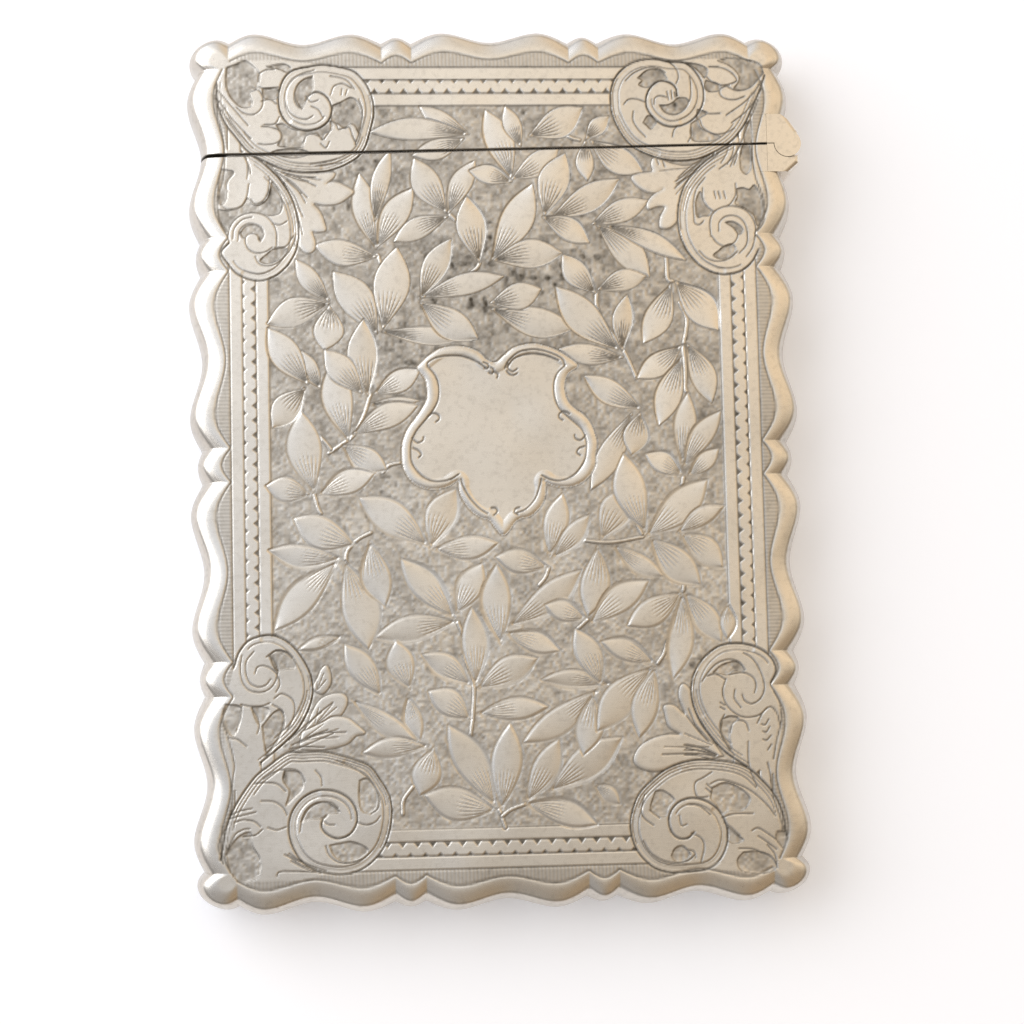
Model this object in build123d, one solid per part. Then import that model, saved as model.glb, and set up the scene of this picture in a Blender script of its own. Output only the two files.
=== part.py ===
from build123d import *
import os

# A silver card case with a hinged lid. Millimetres. It lies on its back: X is its width, Y its
# height with the lid at +Y, Z its thickness. The origin is the middle of the back face.

# ---- driving dimensions ----
THICK = 9.5  # back face to front face
MID = THICK / 2  # the soldered joint between the front and back pressings
SHEET = 0.5  # silver sheet
AXIS_X, AXIS_Y = 34.0, 36.2  # hinge axis, along Z
SEAM_GAP = 0.1  # between the lid and the body, at the hinge
BODY_TILT, LID_TILT = 1.05, 0.9  # degrees: the saw cut runs down to the left, and opens a little
KNUCKLES = 5
KNUCKLE_R = 1.55
CRADLE_R = 1.62  # hollow that a knuckle of the other half turns in
KNUCKLE_GAP = 0.05  # between neighbouring knuckles, along the axis
PIN_R = 0.5
RUNNING_CLEARANCE = 0.03  # between the pin and the body's knuckles, on the radius
PIN_CAP = 0.6  # the front knuckle is blind, and this thick over the pin's end
LUG_INSIDE_X = 31.6  # the lugs are let through the side wall to here
LUG_OUTSIDE_X = AXIS_X + 1.35  # their flat outer face
LUG_BOTTOM_Y, LUG_TOP_Y = 32.9, 39.6
LUG_EDGE_R = 0.6
STOP_RELIEF = 1.25  # the body's lug ends this far below the axis, so the lid opens 80 degrees
BEZEL_BOTTOM_Y, BEZEL_STEP_Y, BEZEL_TOP_Y = 26.0, 34.8, 37.9
BEZEL_HALF_WIDTH = 30.9
BEZEL_WALL = 0.4
BEZEL_CLEARANCE = 0.15  # between the standing part of the bezel and the lid
BEZEL_CORNER_R = 1.2
FAR = 60.0  # reaches past every edge of the case

# ---- the scalloped outline, one quarter of it ----
# (distance along the side, front arris, ridge at mid-thickness); a run ends in a sharp notch.
LONG_LOBE = (0.0, 32.6, 33.9)
LONG_WAVE = [(1.9, 31.3, 33.4), (5.2, 33.4, 34.7), (11.9, 31.9, 33.3), (18.5, 33.4, 34.7), (21.9, 31.3, 33.4)]
UPPER_LOBE = (23.8, 32.6, 33.9)
UPPER_WAVE = [(25.7, 31.3, 33.4), (29.2, 33.3, 34.6), (35.6, 31.8, 33.2), (42.0, 33.3, 34.7), (45.0, 31.9, 33.6)]
MIDDLE_WAVE = [(0.0, 47.6, 48.9), (5.7, 48.7, 50.0), (9.0, 47.1, 48.9)]
SHORT_LOBE = (10.7, 48.2, 49.5)
SHORT_WAVE = [(12.4, 47.1, 48.9), (15.8, 48.6, 49.9), (21.3, 47.4, 48.7), (27.2, 48.6, 49.9), (29.7, 47.3, 48.9)]
# the rounded corner between the last two notches: (x, y) on the arris, (x, y) on the ridge
CORNER_LOBE = [((33.0, 46.1), (34.4, 46.3)), ((32.5, 47.4), (33.7, 48.0)), ((31.1, 48.0), (31.4, 49.2))]

# side wall from the front arris to the ridge: (share of the way out, height above the back)
WALL_SECTIONS = [(0.0, THICK), (0.6, 8.6), (0.9, 6.9), (1.0, MID)]


def between(arris, ridge, share):
    """A value part of the way from the arris to the ridge."""
    return arris + (ridge - arris) * share


def quarter_runs(share, inset):
    """Runs of points of one quarter, from the middle of the right side up and round to the top."""

    def right_side(station):
        return (between(station[1], station[2], share) - inset, station[0])

    def top_side(station):
        return (station[0], between(station[1], station[2], share) - inset)

    def corner(arris, ridge):
        return tuple(between(arris[i], ridge[i], share) - inset for i in (0, 1))

    right = [
        [right_side(LONG_LOBE), right_side(LONG_WAVE[0])],
        [right_side(s) for s in LONG_WAVE],
        [right_side(LONG_WAVE[-1]), right_side(UPPER_LOBE), right_side(UPPER_WAVE[0])],
        [right_side(s) for s in UPPER_WAVE],
    ]
    top = [
        [top_side(s) for s in reversed(SHORT_WAVE)],
        [top_side(SHORT_WAVE[0]), top_side(SHORT_LOBE), top_side(MIDDLE_WAVE[-1])],
        [top_side(s) for s in reversed(MIDDLE_WAVE)],
    ]
    lobe = [right[-1][-1]] + [corner(*pair) for pair in CORNER_LOBE] + [top[0][0]]
    return right + [lobe] + top


def outline(share, inset, height):
    """The closed scalloped outline at one height, anticlockwise from the right side's middle."""
    quarter = quarter_runs(share, inset)
    backwards = [run[::-1] for run in quarter[::-1]]
    runs = []
    for sign_x, sign_y, quarter_of_runs in ((1, 1, quarter), (-1, 1, backwards), (-1, -1, quarter), (1, -1, backwards)):
        for i, run in enumerate(quarter_of_runs):
            points = [Vector(sign_x * x, sign_y * y, height) for x, y in run]
            if i == 0 and runs:
                runs[-1] += points[1:]  # the lobe or wave that crosses a side's middle is one run
            else:
                runs.append(points)
    runs[0] = runs.pop()[:-1] + runs[0]
    return Wire([Edge.make_three_point_arc(*run) if len(run) == 3 else Edge.make_spline(run) for run in runs])


def half_block(inset, top):
    """The solid inside the outline, from the mid-plane up to the front."""
    return Solid.make_loft([outline(share, inset, min(height, top)) for share, height in WALL_SECTIONS], True)


def slab(x0, x1, y0, y1, z0, z1):
    """A box between two corners."""
    return Pos((x0 + x1) / 2, (y0 + y1) / 2, (z0 + z1) / 2) * Box(x1 - x0, y1 - y0, z1 - z0)


def mouth_slab(tilt, offset, side):
    """Everything above (side 1) or below (side -1) the cut, which passes the hinge axis at an offset."""
    return Pos(AXIS_X, AXIS_Y + offset, MID) * Rot(0, 0, tilt) * Pos(0, side * FAR, 0) * Box(4 * FAR, 2 * FAR, THICK)


def disc(radius, z0, z1):
    """A round block on the hinge axis."""
    return Pos(AXIS_X, AXIS_Y, (z0 + z1) / 2) * Cylinder(radius, z1 - z0)


def lug_block(points):
    """A hinge lug before its cradles are cut, with its outer edges rounded at the front and back."""
    block = extrude(make_face(Polyline(*points, close=True)), THICK)
    flat_edges = block.edges().filter_by(Plane.XY).filter_by(lambda e: e.center().X > AXIS_X)
    return fillet(flat_edges, LUG_EDGE_R)


def sleeve(half_width, y0, y1, margin, corner):
    """A rounded rectangular block along Y, a margin inside the case's front and back faces."""
    section = RectangleRounded(2 * half_width, THICK - 2 * margin, corner)
    return Pos(0, y1, MID) * Rot(90, 0, 0) * extrude(section, y1 - y0)


def write(name, shape):
    """One STEP file per piece, named for its node."""
    (solid,) = shape.solids()
    solid.label = name
    export_step(solid, f"parts/{name}.step")


os.makedirs("parts", exist_ok=True)

# ---- the front and back pressings: trays soldered rim to rim, with their top end cut off as a lid ----
front_tray = half_block(0, THICK) - half_block(SHEET, THICK - SHEET)
lug_bed = slab(LUG_INSIDE_X, FAR, LUG_BOTTOM_Y, LUG_TOP_Y, 0, THICK)
cuts = {
    "body": mouth_slab(BODY_TILT, -SEAM_GAP / 2, -1) - lug_bed,
    "lid": mouth_slab(LID_TILT, SEAM_GAP / 2, 1) - lug_bed,
}
for half, space in cuts.items():
    front_shell = front_tray & space
    write(f"{half}_front_shell", front_shell)
    write(f"{half}_back_shell", mirror(front_shell, Plane.XY.offset(MID)))

# ---- the bezel: a flat tube soldered inside the body's mouth, standing up into the lid ----
bezel_hidden = sleeve(BEZEL_HALF_WIDTH + BEZEL_CLEARANCE, BEZEL_BOTTOM_Y, BEZEL_STEP_Y, SHEET, BEZEL_CORNER_R)
bezel_standing = sleeve(BEZEL_HALF_WIDTH, BEZEL_STEP_Y, BEZEL_TOP_Y, SHEET + BEZEL_CLEARANCE, BEZEL_CORNER_R)
bezel_hollow = sleeve(
    BEZEL_HALF_WIDTH - BEZEL_WALL,
    BEZEL_BOTTOM_Y - 1,
    BEZEL_TOP_Y + 1,
    SHEET + BEZEL_CLEARANCE + BEZEL_WALL,
    BEZEL_CORNER_R - BEZEL_WALL,
)
write("bezel", bezel_hidden + bezel_standing - bezel_hollow)

# ---- the hinge: two lugs, five knuckles and a pin ----
body_lug = lug_block(
    [
        (LUG_INSIDE_X, LUG_BOTTOM_Y),
        (AXIS_X + 0.2, LUG_BOTTOM_Y),
        (LUG_OUTSIDE_X, LUG_BOTTOM_Y + 1),
        (LUG_OUTSIDE_X, AXIS_Y - STOP_RELIEF),
        (AXIS_X, AXIS_Y - STOP_RELIEF),
        (AXIS_X, AXIS_Y - SEAM_GAP / 2),
        (LUG_INSIDE_X, AXIS_Y - SEAM_GAP / 2),
    ]
)
lid_lug = lug_block(
    [
        (LUG_INSIDE_X, AXIS_Y + SEAM_GAP / 2),
        (LUG_OUTSIDE_X, AXIS_Y + SEAM_GAP / 2),
        (LUG_OUTSIDE_X, LUG_TOP_Y - 2),
        (AXIS_X + 0.5, LUG_TOP_Y - 0.8),
        (AXIS_X - 0.8, LUG_TOP_Y),
        (LUG_INSIDE_X, LUG_TOP_Y),
    ]
)
knuckle_names = ("lid_knuckle_back", "body_knuckle_lower", "lid_knuckle_middle", "body_knuckle_upper", "lid_knuckle_front")
layer = THICK / KNUCKLES
for i, name in enumerate(knuckle_names):
    on_lid = name.startswith("lid")
    z0, z1 = i * layer, (i + 1) * layer
    body_lug -= disc(CRADLE_R if on_lid else KNUCKLE_R, z0, z1)
    lid_lug -= disc(KNUCKLE_R if on_lid else CRADLE_R, z0, z1)
    foot = z0 + (KNUCKLE_GAP / 2 if i > 0 else 0)
    head = z1 - (KNUCKLE_GAP / 2 if i < KNUCKLES - 1 else 0)
    bore_end = head if i < KNUCKLES - 1 else THICK - PIN_CAP
    bore_r = PIN_R if on_lid else PIN_R + RUNNING_CLEARANCE
    write(name, disc(KNUCKLE_R, foot, head) - disc(bore_r, foot, bore_end))
write("body_hinge_lug", body_lug)
write("lid_hinge_lug", lid_lug)
write("hinge_pin", disc(PIN_R, 0, THICK - PIN_CAP))
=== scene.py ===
"""Looks of an engraved silver card case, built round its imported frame.

Every length in the ornament is in millimetres from the middle of the case: X to the right, Y to the top, Z up
from the flat back. Meshes are written in metres.
"""

import logging
import math
from dataclasses import dataclass, field
from enum import Enum
from functools import partial

import bpy
import numpy as np
from mathutils import Matrix, Vector


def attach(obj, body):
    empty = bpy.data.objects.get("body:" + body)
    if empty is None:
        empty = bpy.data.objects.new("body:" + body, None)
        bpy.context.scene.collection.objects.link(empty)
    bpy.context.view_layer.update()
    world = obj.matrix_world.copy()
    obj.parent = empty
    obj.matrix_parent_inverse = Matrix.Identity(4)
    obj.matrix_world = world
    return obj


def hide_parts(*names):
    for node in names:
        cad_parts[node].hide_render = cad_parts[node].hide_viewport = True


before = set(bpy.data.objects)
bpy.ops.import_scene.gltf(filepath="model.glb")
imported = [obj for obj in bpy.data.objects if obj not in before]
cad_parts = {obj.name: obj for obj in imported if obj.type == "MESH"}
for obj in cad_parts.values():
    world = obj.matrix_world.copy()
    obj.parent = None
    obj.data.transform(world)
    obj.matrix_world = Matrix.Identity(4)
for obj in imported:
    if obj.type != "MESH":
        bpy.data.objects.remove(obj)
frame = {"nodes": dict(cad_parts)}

LOG = logging.getLogger("card_case")
MM = 0.001
LEAST_STEP = 1e-6

Path = list[tuple[float, float]]
Window = tuple[slice, slice]


# ----------------------------------------------------------
# Lines and curves
# ----------------------------------------------------------


def smooth_step(low: float, high: float, value: np.ndarray) -> np.ndarray:
    """0 below low, 1 above high, and the cubic 3t^2 - 2t^3 between them.

    Args:
        low: where the step starts.
        high: where the step ends.
        value: the numbers to step.

    Returns:
        The stepped numbers.
    """
    share = np.clip((value - low) / (high - low), 0.0, 1.0)
    return share * share * (3.0 - 2.0 * share)


def flow(points: Path | np.ndarray, spacing: float = 0.3) -> np.ndarray:
    """A soft curve through the points: a Catmull-Rom cubic between each pair.

    Args:
        points: the points to pass through, in millimetres.
        spacing: the longest step along the curve, in millimetres.

    Returns:
        The curve as an array of points.
    """
    given = np.asarray(points, float)
    padded = np.vstack([2 * given[0] - given[1], given, 2 * given[-1] - given[-2]])
    runs = []
    for before, start, end, after in zip(padded[:-3], padded[1:-2], padded[2:-1], padded[3:]):
        steps = max(2, math.ceil(np.linalg.norm(end - start) / spacing))
        t = np.arange(steps)[:, None] / steps
        square = 2 * before - 5 * start + 4 * end - after
        cube = 3 * start - before - 3 * end + after
        runs.append(start + ((end - before) * t + (square * t**2 + cube * t**3)) / 2)
    return np.vstack([*runs, given[-1:]])


def natural_curve(points: np.ndarray, count: int) -> np.ndarray:
    """A natural cubic spline through the points, by chord length, with no bend at its ends.

    Args:
        points: the points, one to a row, of any dimension.
        count: how many samples to give.

    Returns:
        The samples, the first and last on the end points.
    """
    chords = np.linalg.norm(np.diff(points[:, :2], axis=0), axis=1)
    knots = np.concatenate([[0.0], np.cumsum(chords)])
    size = len(points)
    matrix = np.eye(size)
    right = np.zeros(points.shape)
    for i in range(1, size - 1):
        matrix[i, i - 1 : i + 2] = chords[i - 1], 2 * (chords[i - 1] + chords[i]), chords[i]
        rise, fall = points[i + 1] - points[i], points[i] - points[i - 1]
        right[i] = 6 * (rise / chords[i] - fall / chords[i - 1])
    bend = np.linalg.solve(matrix, right)
    where = np.linspace(0.0, knots[-1], count)
    i = np.clip(np.searchsorted(knots, where, side="right") - 1, 0, size - 2)
    span = chords[i][:, None]
    a = (knots[i + 1] - where)[:, None]
    b = (where - knots[i])[:, None]
    cubic = (bend[i] * a**3 + bend[i + 1] * b**3) / (6 * span)
    low = (points[i] / span - bend[i] * span / 6) * a
    high = (points[i + 1] / span - bend[i + 1] * span / 6) * b
    return cubic + (low + high)


def mix_four(layer: np.ndarray, i: np.ndarray, j: np.ndarray, s: np.ndarray, t: np.ndarray) -> np.ndarray:
    """The value inside a grid cell, blended from its four corners.

    Args:
        layer: values at the grid points.
        i: the cell's row.
        j: the cell's column.
        s: share of the way across the cell.
        t: share of the way up the cell.

    Returns:
        The blended values.
    """
    low = layer[i, j] * (1 - s) + layer[i, j + 1] * s
    high = layer[i + 1, j] * (1 - s) + layer[i + 1, j + 1] * s
    return low * (1 - t) + high * t


def path(*numbers: float) -> Path:
    """Points from their coordinates in turn: x, y, x, y and so on."""
    return list(zip(numbers[::2], numbers[1::2]))


# ----------------------------------------------------------
# The scalloped outline
# ----------------------------------------------------------

# Stations of one quarter, anticlockwise from the middle of the right side to the middle of the top. Each
# row is the arris x, y where the face turns down, and the mid ridge x, y where the two halves meet.
SIDE_LOBE = [(31.3, -1.9, 33.4, -1.9), (32.6, 0.0, 33.9, 0.0), (31.3, 1.9, 33.4, 1.9)]
SIDE_WAVE = [
    (31.3, 1.9, 33.4, 1.9),
    (33.4, 5.2, 34.7, 5.2),
    (31.9, 11.9, 33.3, 11.9),
    (33.4, 18.5, 34.7, 18.5),
    (31.3, 21.9, 33.4, 21.9),
]
UPPER_LOBE = [(31.3, 21.9, 33.4, 21.9), (32.6, 23.8, 33.9, 23.8), (31.3, 25.7, 33.4, 25.7)]
UPPER_WAVE = [
    (31.3, 25.7, 33.4, 25.7),
    (33.3, 29.2, 34.6, 29.2),
    (31.8, 35.6, 33.2, 35.6),
    (33.3, 42.0, 34.7, 42.0),
    (31.9, 45.0, 33.6, 45.0),
]
CORNER_LOBE = [
    (31.9, 45.0, 33.6, 45.0),
    (33.0, 46.1, 34.4, 46.3),
    (32.5, 47.4, 33.7, 48.0),
    (31.1, 48.0, 31.4, 49.2),
    (29.7, 47.3, 29.7, 48.9),
]
END_WAVE = [
    (29.7, 47.3, 29.7, 48.9),
    (27.2, 48.6, 27.2, 49.9),
    (21.3, 47.4, 21.3, 48.7),
    (15.8, 48.6, 15.8, 49.9),
    (12.4, 47.1, 12.4, 48.9),
]
END_LOBE = [(12.4, 47.1, 12.4, 48.9), (10.7, 48.2, 10.7, 49.5), (9.0, 47.1, 9.0, 48.9)]
MIDDLE_WAVE = [
    (9.0, 47.1, 9.0, 48.9),
    (5.7, 48.7, 5.7, 50.0),
    (0.0, 47.6, 0.0, 48.9),
    (-5.7, 48.7, -5.7, 50.0),
    (-9.0, 47.1, -9.0, 48.9),
]
QUARTER = (SIDE_LOBE, SIDE_WAVE, UPPER_LOBE, UPPER_WAVE, CORNER_LOBE, END_WAVE, END_LOBE, MIDDLE_WAVE)

# Where the corner lobes begin: the end of a long side's last wave, and of an end's last wave.
SIDE_STOP_Y = 45.0
END_STOP_X = 29.7
# Where the arris stands at a notch of a long side, and of an end.
SIDE_NOTCH_X = 31.3
END_NOTCH_Y = 47.1


@dataclass
class Outline:
    """The scalloped edge of the case, as one closed run of sections.

    Attributes:
        face_x: half width of the straight-sided face inside the edge.
        face_y: half height of that face.
        spacing: step along the edge.
    """

    face_x: float = 29.85
    face_y: float = 45.2
    spacing: float = 0.125
    arris: np.ndarray = field(init=False)
    ridge: np.ndarray = field(init=False)
    travel: np.ndarray = field(init=False)

    def __post_init__(self) -> None:
        """Lays the quarter out, mirrors it three times and measures the travel along it."""
        quarter = self._quarter()
        flip_x = quarter[::-1] * (-1, 1, -1, 1)
        half = np.vstack([quarter, flip_x[1:]])
        whole = np.vstack([half, (half[::-1] * (1, -1, 1, -1))[1:]])
        self.arris, self.ridge = whole[:, :2], whole[:, 2:]
        steps = np.linalg.norm(np.diff(self.arris, axis=0), axis=1)
        self.travel = np.concatenate([[0.0], np.cumsum(np.maximum(steps, LEAST_STEP))])

    def _quarter(self) -> np.ndarray:
        """The quarter from the middle of the right side to the middle of the top.

        Returns:
            Rows of arris x, y and ridge x, y.
        """
        runs = []
        for stations in QUARTER:
            points = np.array(stations)
            length = np.linalg.norm(np.diff(points[:, :2], axis=0), axis=1).sum()
            count = 2 * math.ceil(length / self.spacing / 2) + 1
            curve = natural_curve(points, count)
            if stations is SIDE_LOBE:
                curve = curve[count // 2 :]
            if stations is MIDDLE_WAVE:
                curve = curve[: count // 2 + 1]
            runs.append(curve if not runs else curve[1:])
        return np.vstack(runs)

    def at(self, travel: np.ndarray) -> tuple[np.ndarray, np.ndarray]:
        """The arris and the ridge at given travels; travel runs on past a whole turn.

        Args:
            travel: distances along the arris from the middle of the right side.

        Returns:
            The arris points and the ridge points.
        """
        wrapped = np.mod(travel, self.travel[-1])
        arris, ridge = (
            np.stack([np.interp(wrapped, self.travel, line[:, k]) for k in (0, 1)], axis=1)
            for line in (self.arris, self.ridge)
        )
        return arris, ridge

    def travel_at_height(self, y: float, right: bool) -> float:
        """Where the arris passes a height on one long side.

        Args:
            y: the height.
            right: True for the right side.

        Returns:
            The travel there.
        """
        clear = np.abs(self.arris[:, 1]) < SIDE_STOP_Y - 1.0
        side = clear & (self.arris[:, 0] > 0 if right else self.arris[:, 0] < 0)
        upper = side & (self.arris[:, 1] > 0)
        order = np.argsort(self.arris[upper, 1])
        return float(np.interp(y, self.arris[upper, 1][order], self.travel[upper][order]))


# ----------------------------------------------------------
# The engraved ornament
# ----------------------------------------------------------


@dataclass(frozen=True)
class Volute:
    """One rolled branch of a corner scroll.

    Attributes:
        line: the edge of the branch from its root to the eye of the roll.
        outer: how many points of the line bound the plate the branch is cut from.
        closing: points that close that plate against the frame.
    """

    line: Path
    outer: int
    closing: Path


@dataclass(frozen=True)
class CornerScroll:
    """The scrollwork of one corner.

    Attributes:
        volutes: the two rolled branches.
        cuts: fine engraved lines inside them.
        pits: patches of matted ground inside them.
        lobes: leafy lobes that stand out from them into the field.
    """

    volutes: list[Volute]
    cuts: list[Path]
    pits: list[Path]
    lobes: list[Path]


# Leaves of the field in the order they overlap: root x, root y, tip x, tip y, greatest width.
LEAVES = [
    (-2.6, 37.4, -8.1, 40.6, 1.9), (-2.8, 37.4, -13.8, 37.7, 2.2), (-3.2, 36.9, -9, 35, 2.0),
    (2.1, 32.3, -0.7, 40.2, 2.8), (3.3, 36, 1.6, 40.6, 1.7), (4.3, 37.2, 10.4, 40.4, 2.9),
    (10.8, 36.8, 13.4, 39.4, 1.6), (11.3, 36.6, 17.2, 32.9, 2.7), (10.7, 36.6, 10.8, 32, 1.7),
    (2.2, 32.2, 7.6, 35.8, 2.3), (5.8, 28, 8.3, 35.1, 3.0), (6.6, 27.7, 14.4, 32.1, 2.6),
    (-0.3, 22.9, 4.5, 31.6, 3.2), (-0.1, 22.9, 7.7, 23.6, 2.8), (11.4, 19, 7.8, 23.4, 2.4),
    (5.6, 27.8, 10.8, 24.8, 2.3), (11.2, 26.9, 17.7, 29.6, 2.2), (11.8, 26.8, 17.6, 20.8, 2.8),
    (13, 26.7, 21.8, 22.7, 1.8), (-13.3, 24.3, -15.1, 32.9, 2.4), (-13.4, 27.5, -11.6, 35.6, 1.7),
    (-13.2, 24.5, -9.1, 31.2, 2.6), (-13.3, 23.4, -20.2, 24.7, 2.5), (-5.3, 28.4, -8.9, 34.6, 2.8),
    (-5.1, 28.3, -2, 34.3, 2.1), (-5.2, 27.9, -11.3, 25.1, 2.1), (-1.7, 22.7, -3, 30.2, 2.9),
    (2.2, 31.9, -2.6, 33.2, 1.9), (-18.7, 18.1, -25.6, 15.9, 2.7), (-18.7, 17.8, -19.3, 12.8, 2.9),
    (-18.7, 18.4, -22.4, 23.1, 1.9), (-13.4, 14.6, -18.2, 21.7, 3.3), (-12.7, 15.2, -11, 24.4, 3.5),
    (-12.8, 14.8, -3.3, 14.1, 1.7), (-14.5, 7.6, -14.9, 16.2, 2.9), (-8.4, 18.6, -4.9, 25.3, 2.4),
    (-8.3, 18.7, 1, 21, 2.1), (-8.5, 18.1, -2.1, 13.9, 3.0), (-13.8, 7.8, -8.7, 10.4, 2.2),
    (-14.3, 6.6, -8.8, 6.9, 1.2), (-16.2, 3.3, -9, 6.4, 2.4), (-16.8, 2.6, -18.4, 11.6, 3.0),
    (-15.2, 7.9, -19.3, 12.8, 2.6), (-19.8, 8.5, -21.9, 12.7, 1.8), (-21.2, 9, -25.6, 15.3, 2.9),
    (-21.5, 8.5, -25.2, 4.1, 2.7), (-20.7, -3.2, -22, 5.9, 3.4), (-17.4, 2, -12.6, -0.8, 2.6),
    (-0.4, 17.3, 8.9, 15, 2.9), (-0.5, 18, 5.2, 19.5, 2.6), (13.8, 12.5, 6.9, 19.7, 3.3),
    (11.7, 19.4, 17.2, 20.9, 2.1), (14.3, 12.4, 15, 18.7, 2.0), (20, 19.9, 16.7, 13.2, 2.7),
    (20.6, 20.2, 25.3, 14.6, 3.2), (21, 12.8, 15.9, 9.2, 2.3), (21.7, 13, 24.3, 6.3, 2.5),
    (21, 11.5, 18.2, 3.8, 2.6), (14.3, 11.6, 7.1, 12.6, 2.0), (16.2, 5.7, 9.9, 9.5, 2.4),
    (15.2, 5.2, 10.3, -3.4, 2.4), (16.1, 5.2, 15, 0.5, 2.5), (20.7, -0.5, 21.6, 7.4, 2.2),
    (20.9, -1, 25.3, 5.3, 2.2), (-21.2, -3.4, -26, -2.4, 2.4), (-20.2, -3.5, -14, -1.2, 2.5),
    (-16.2, -9.1, -23, -6.1, 3.2), (-17.8, -10.6, -25.8, -9.6, 2.3), (-18.3, -11, -25.3, -18.5, 3.0),
    (-17.4, -11, -15, -20.8, 3.7), (-14.6, -8.8, -13, -16, 3.0), (-8.2, -9.3, -15.7, -3.9, 3.2),
    (-7.9, -9.6, -4.9, -3.1, 3.1), (-7.5, -9.8, -0.3, -9.2, 2.3), (-5.4, -17.5, -11.2, -10.8, 2.9),
    (-5.1, -17, -2.1, -11.5, 2.7), (-5.2, -17.9, -14.2, -19.5, 2.6), (-0.2, -20.5, -0.5, -11.6, 3.0),
    (5.4, -10.8, 7.1, -3.8, 2.4), (5.8, -11, 10, -6.3, 2.0), (5.2, -12, -0.6, -10.8, 2.4),
    (0.8, -18.5, 8.9, -12.5, 2.8), (0.4, -19.3, 6.3, -21.4, 2.2), (9.3, -17.9, 4.8, -16.3, 2.2),
    (10.9, -9.8, 9.6, -17.6, 2.9), (9.8, -18.5, 16.5, -13.8, 2.8), (11.3, -9, 15, -3.5, 3.3),
    (12.7, -9.7, 18.3, -13.3, 1.9), (16.3, -8.3, 14.1, 0.6, 3.2), (16.5, -8.7, 23.5, -2.5, 3.2),
    (20, -8.5, 25.3, -5.5, 1.8), (20.4, -8.6, 25, -12.4, 2.7), (16.9, -9, 22.4, -14.3, 3.2),
    (20.2, -15.2, 14, -18.8, 2.7), (20.2, -15.4, 19, -24.8, 2.6), (20.6, -15.2, 24.6, -20.8, 2.6),
    (20.7, -1.9, 16.6, 0.5, 2.2), (21.4, -2, 24.9, 1, 1.8), (25.4, -16.5, 25.2, -20.5, 1.5),
    (-17.8, -19.3, -22.7, -20.7, 1.2), (-10.4, -25.3, -11.9, -19.9, 2.7), (-13.6, -26, -17.6, -20.2, 2.6),
    (-10.7, -26, -9.4, -30.9, 1.9), (-16.8, -26.3, -9.8, -31, 2.0), (-8.5, -31.6, -15.8, -32.2, 1.9),
    (-7.9, -31.8, -9.6, -37, 2.8), (-3.7, -25, -9, -21.5, 2.4), (-3.8, -28.8, -8.4, -25.6, 2.6),
    (-3.2, -25, -3.4, -16.4, 2.6), (-2.9, -25.4, 3.8, -22.2, 2.7), (-3, -28.2, 4.9, -27.6, 2.2),
    (-0.6, -38.8, 0.6, -29.3, 3.0), (-1.3, -38.3, -6.3, -29.4, 3.2), (-1.2, -38.8, -9.1, -37, 3.2),
    (2.2, -38.2, 10, -40.7, 2.6), (2.2, -38, 6, -31.2, 2.6), (4.9, -36.9, 13, -31.2, 3.2),
    (12, -25.3, 4.2, -24.6, 1.8), (10.9, -25.4, 8.1, -19, 2.6), (10.5, -25.8, 2, -31.5, 2.6),
    (9.9, -26.3, 8.7, -33, 2.7), (16.6, -23.5, 10.3, -30.4, 3.2), (16.9, -23, 11, -20.5, 2.2),
    (17, -23.5, 15, -31.3, 2.6), (9.8, -36.3, 12.6, -38.5, 1.6),
]

# Thin raised stems between the leaves.
STEMS = [
    path(-5, 28.2, -3.5, 26.5, -2, 23.6, -1.8, 22.3, -3.3, 21.1, -6, 20, -8.5, 18.6),
    path(-13.2, 23.6, -12.7, 22.4, -11.8, 22.9, -11.2, 24.2),
    path(19.4, 25, 19.6, 22.5, 19.7, 20.5, 20.2, 20.3),
    path(21, 17.8, 21.7, 16, 21.6, 14.5, 21.3, 13.2),
    path(11.5, 18.9, 11.5, 17.5, 12.3, 15.5, 13.5, 13.8, 14.6, 12, 15.8, 9.2),
    path(21.2, 12.7, 21.4, 10, 21.3, 8, 21.6, 7.4),
    path(-14.3, 7.7, -15, 5.5, -16.2, 3.2, -17.5, 2.2, -19, 1.2),
    path(-21.8, 8.5, -22, 6, -21.2, 4.2, -19.5, 2.5, -18.8, 1.6),
    path(-20.7, -3.5, -20.3, -5, -20, -5.6),
    path(-14.5, -7.8, -16, -8.6, -17.2, -10, -17.1, -11.8, -16, -13.5, -14.3, -15.8),
    path(5.3, -12.2, 4.9, -13.2, 4.2, -14),
    path(8.9, -9, 11, -9.3, 13, -9.3, 16, -8.8),
    path(-5, -18, -4.2, -20.3, -4.3, -22, -3.4, -24.5, -3.5, -28, -3.9, -31),
    path(-0.8, -38.8, -0.2, -40.8),
    path(20.6, -13.8, 20.4, -15),
    path(20.8, -2.2, 20.5, -3.8),
    path(8, 37.8, 9, 37, 10, 36.7),
    path(-13, -1, -12.3, -0.3, -11, 0),
    path(-10.3, -36, -11.4, -37.5, -11.5, -39),
    path(17.3, -23, 18, -22, 18.5, -20.5),
    path(2.2, -38.2, 0.5, -38.8, -0.5, -39.5),
    path(15.2, -6.8, 15.9, -8.5),
    path(9.5, -18, 8.4, -19),
]

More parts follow.
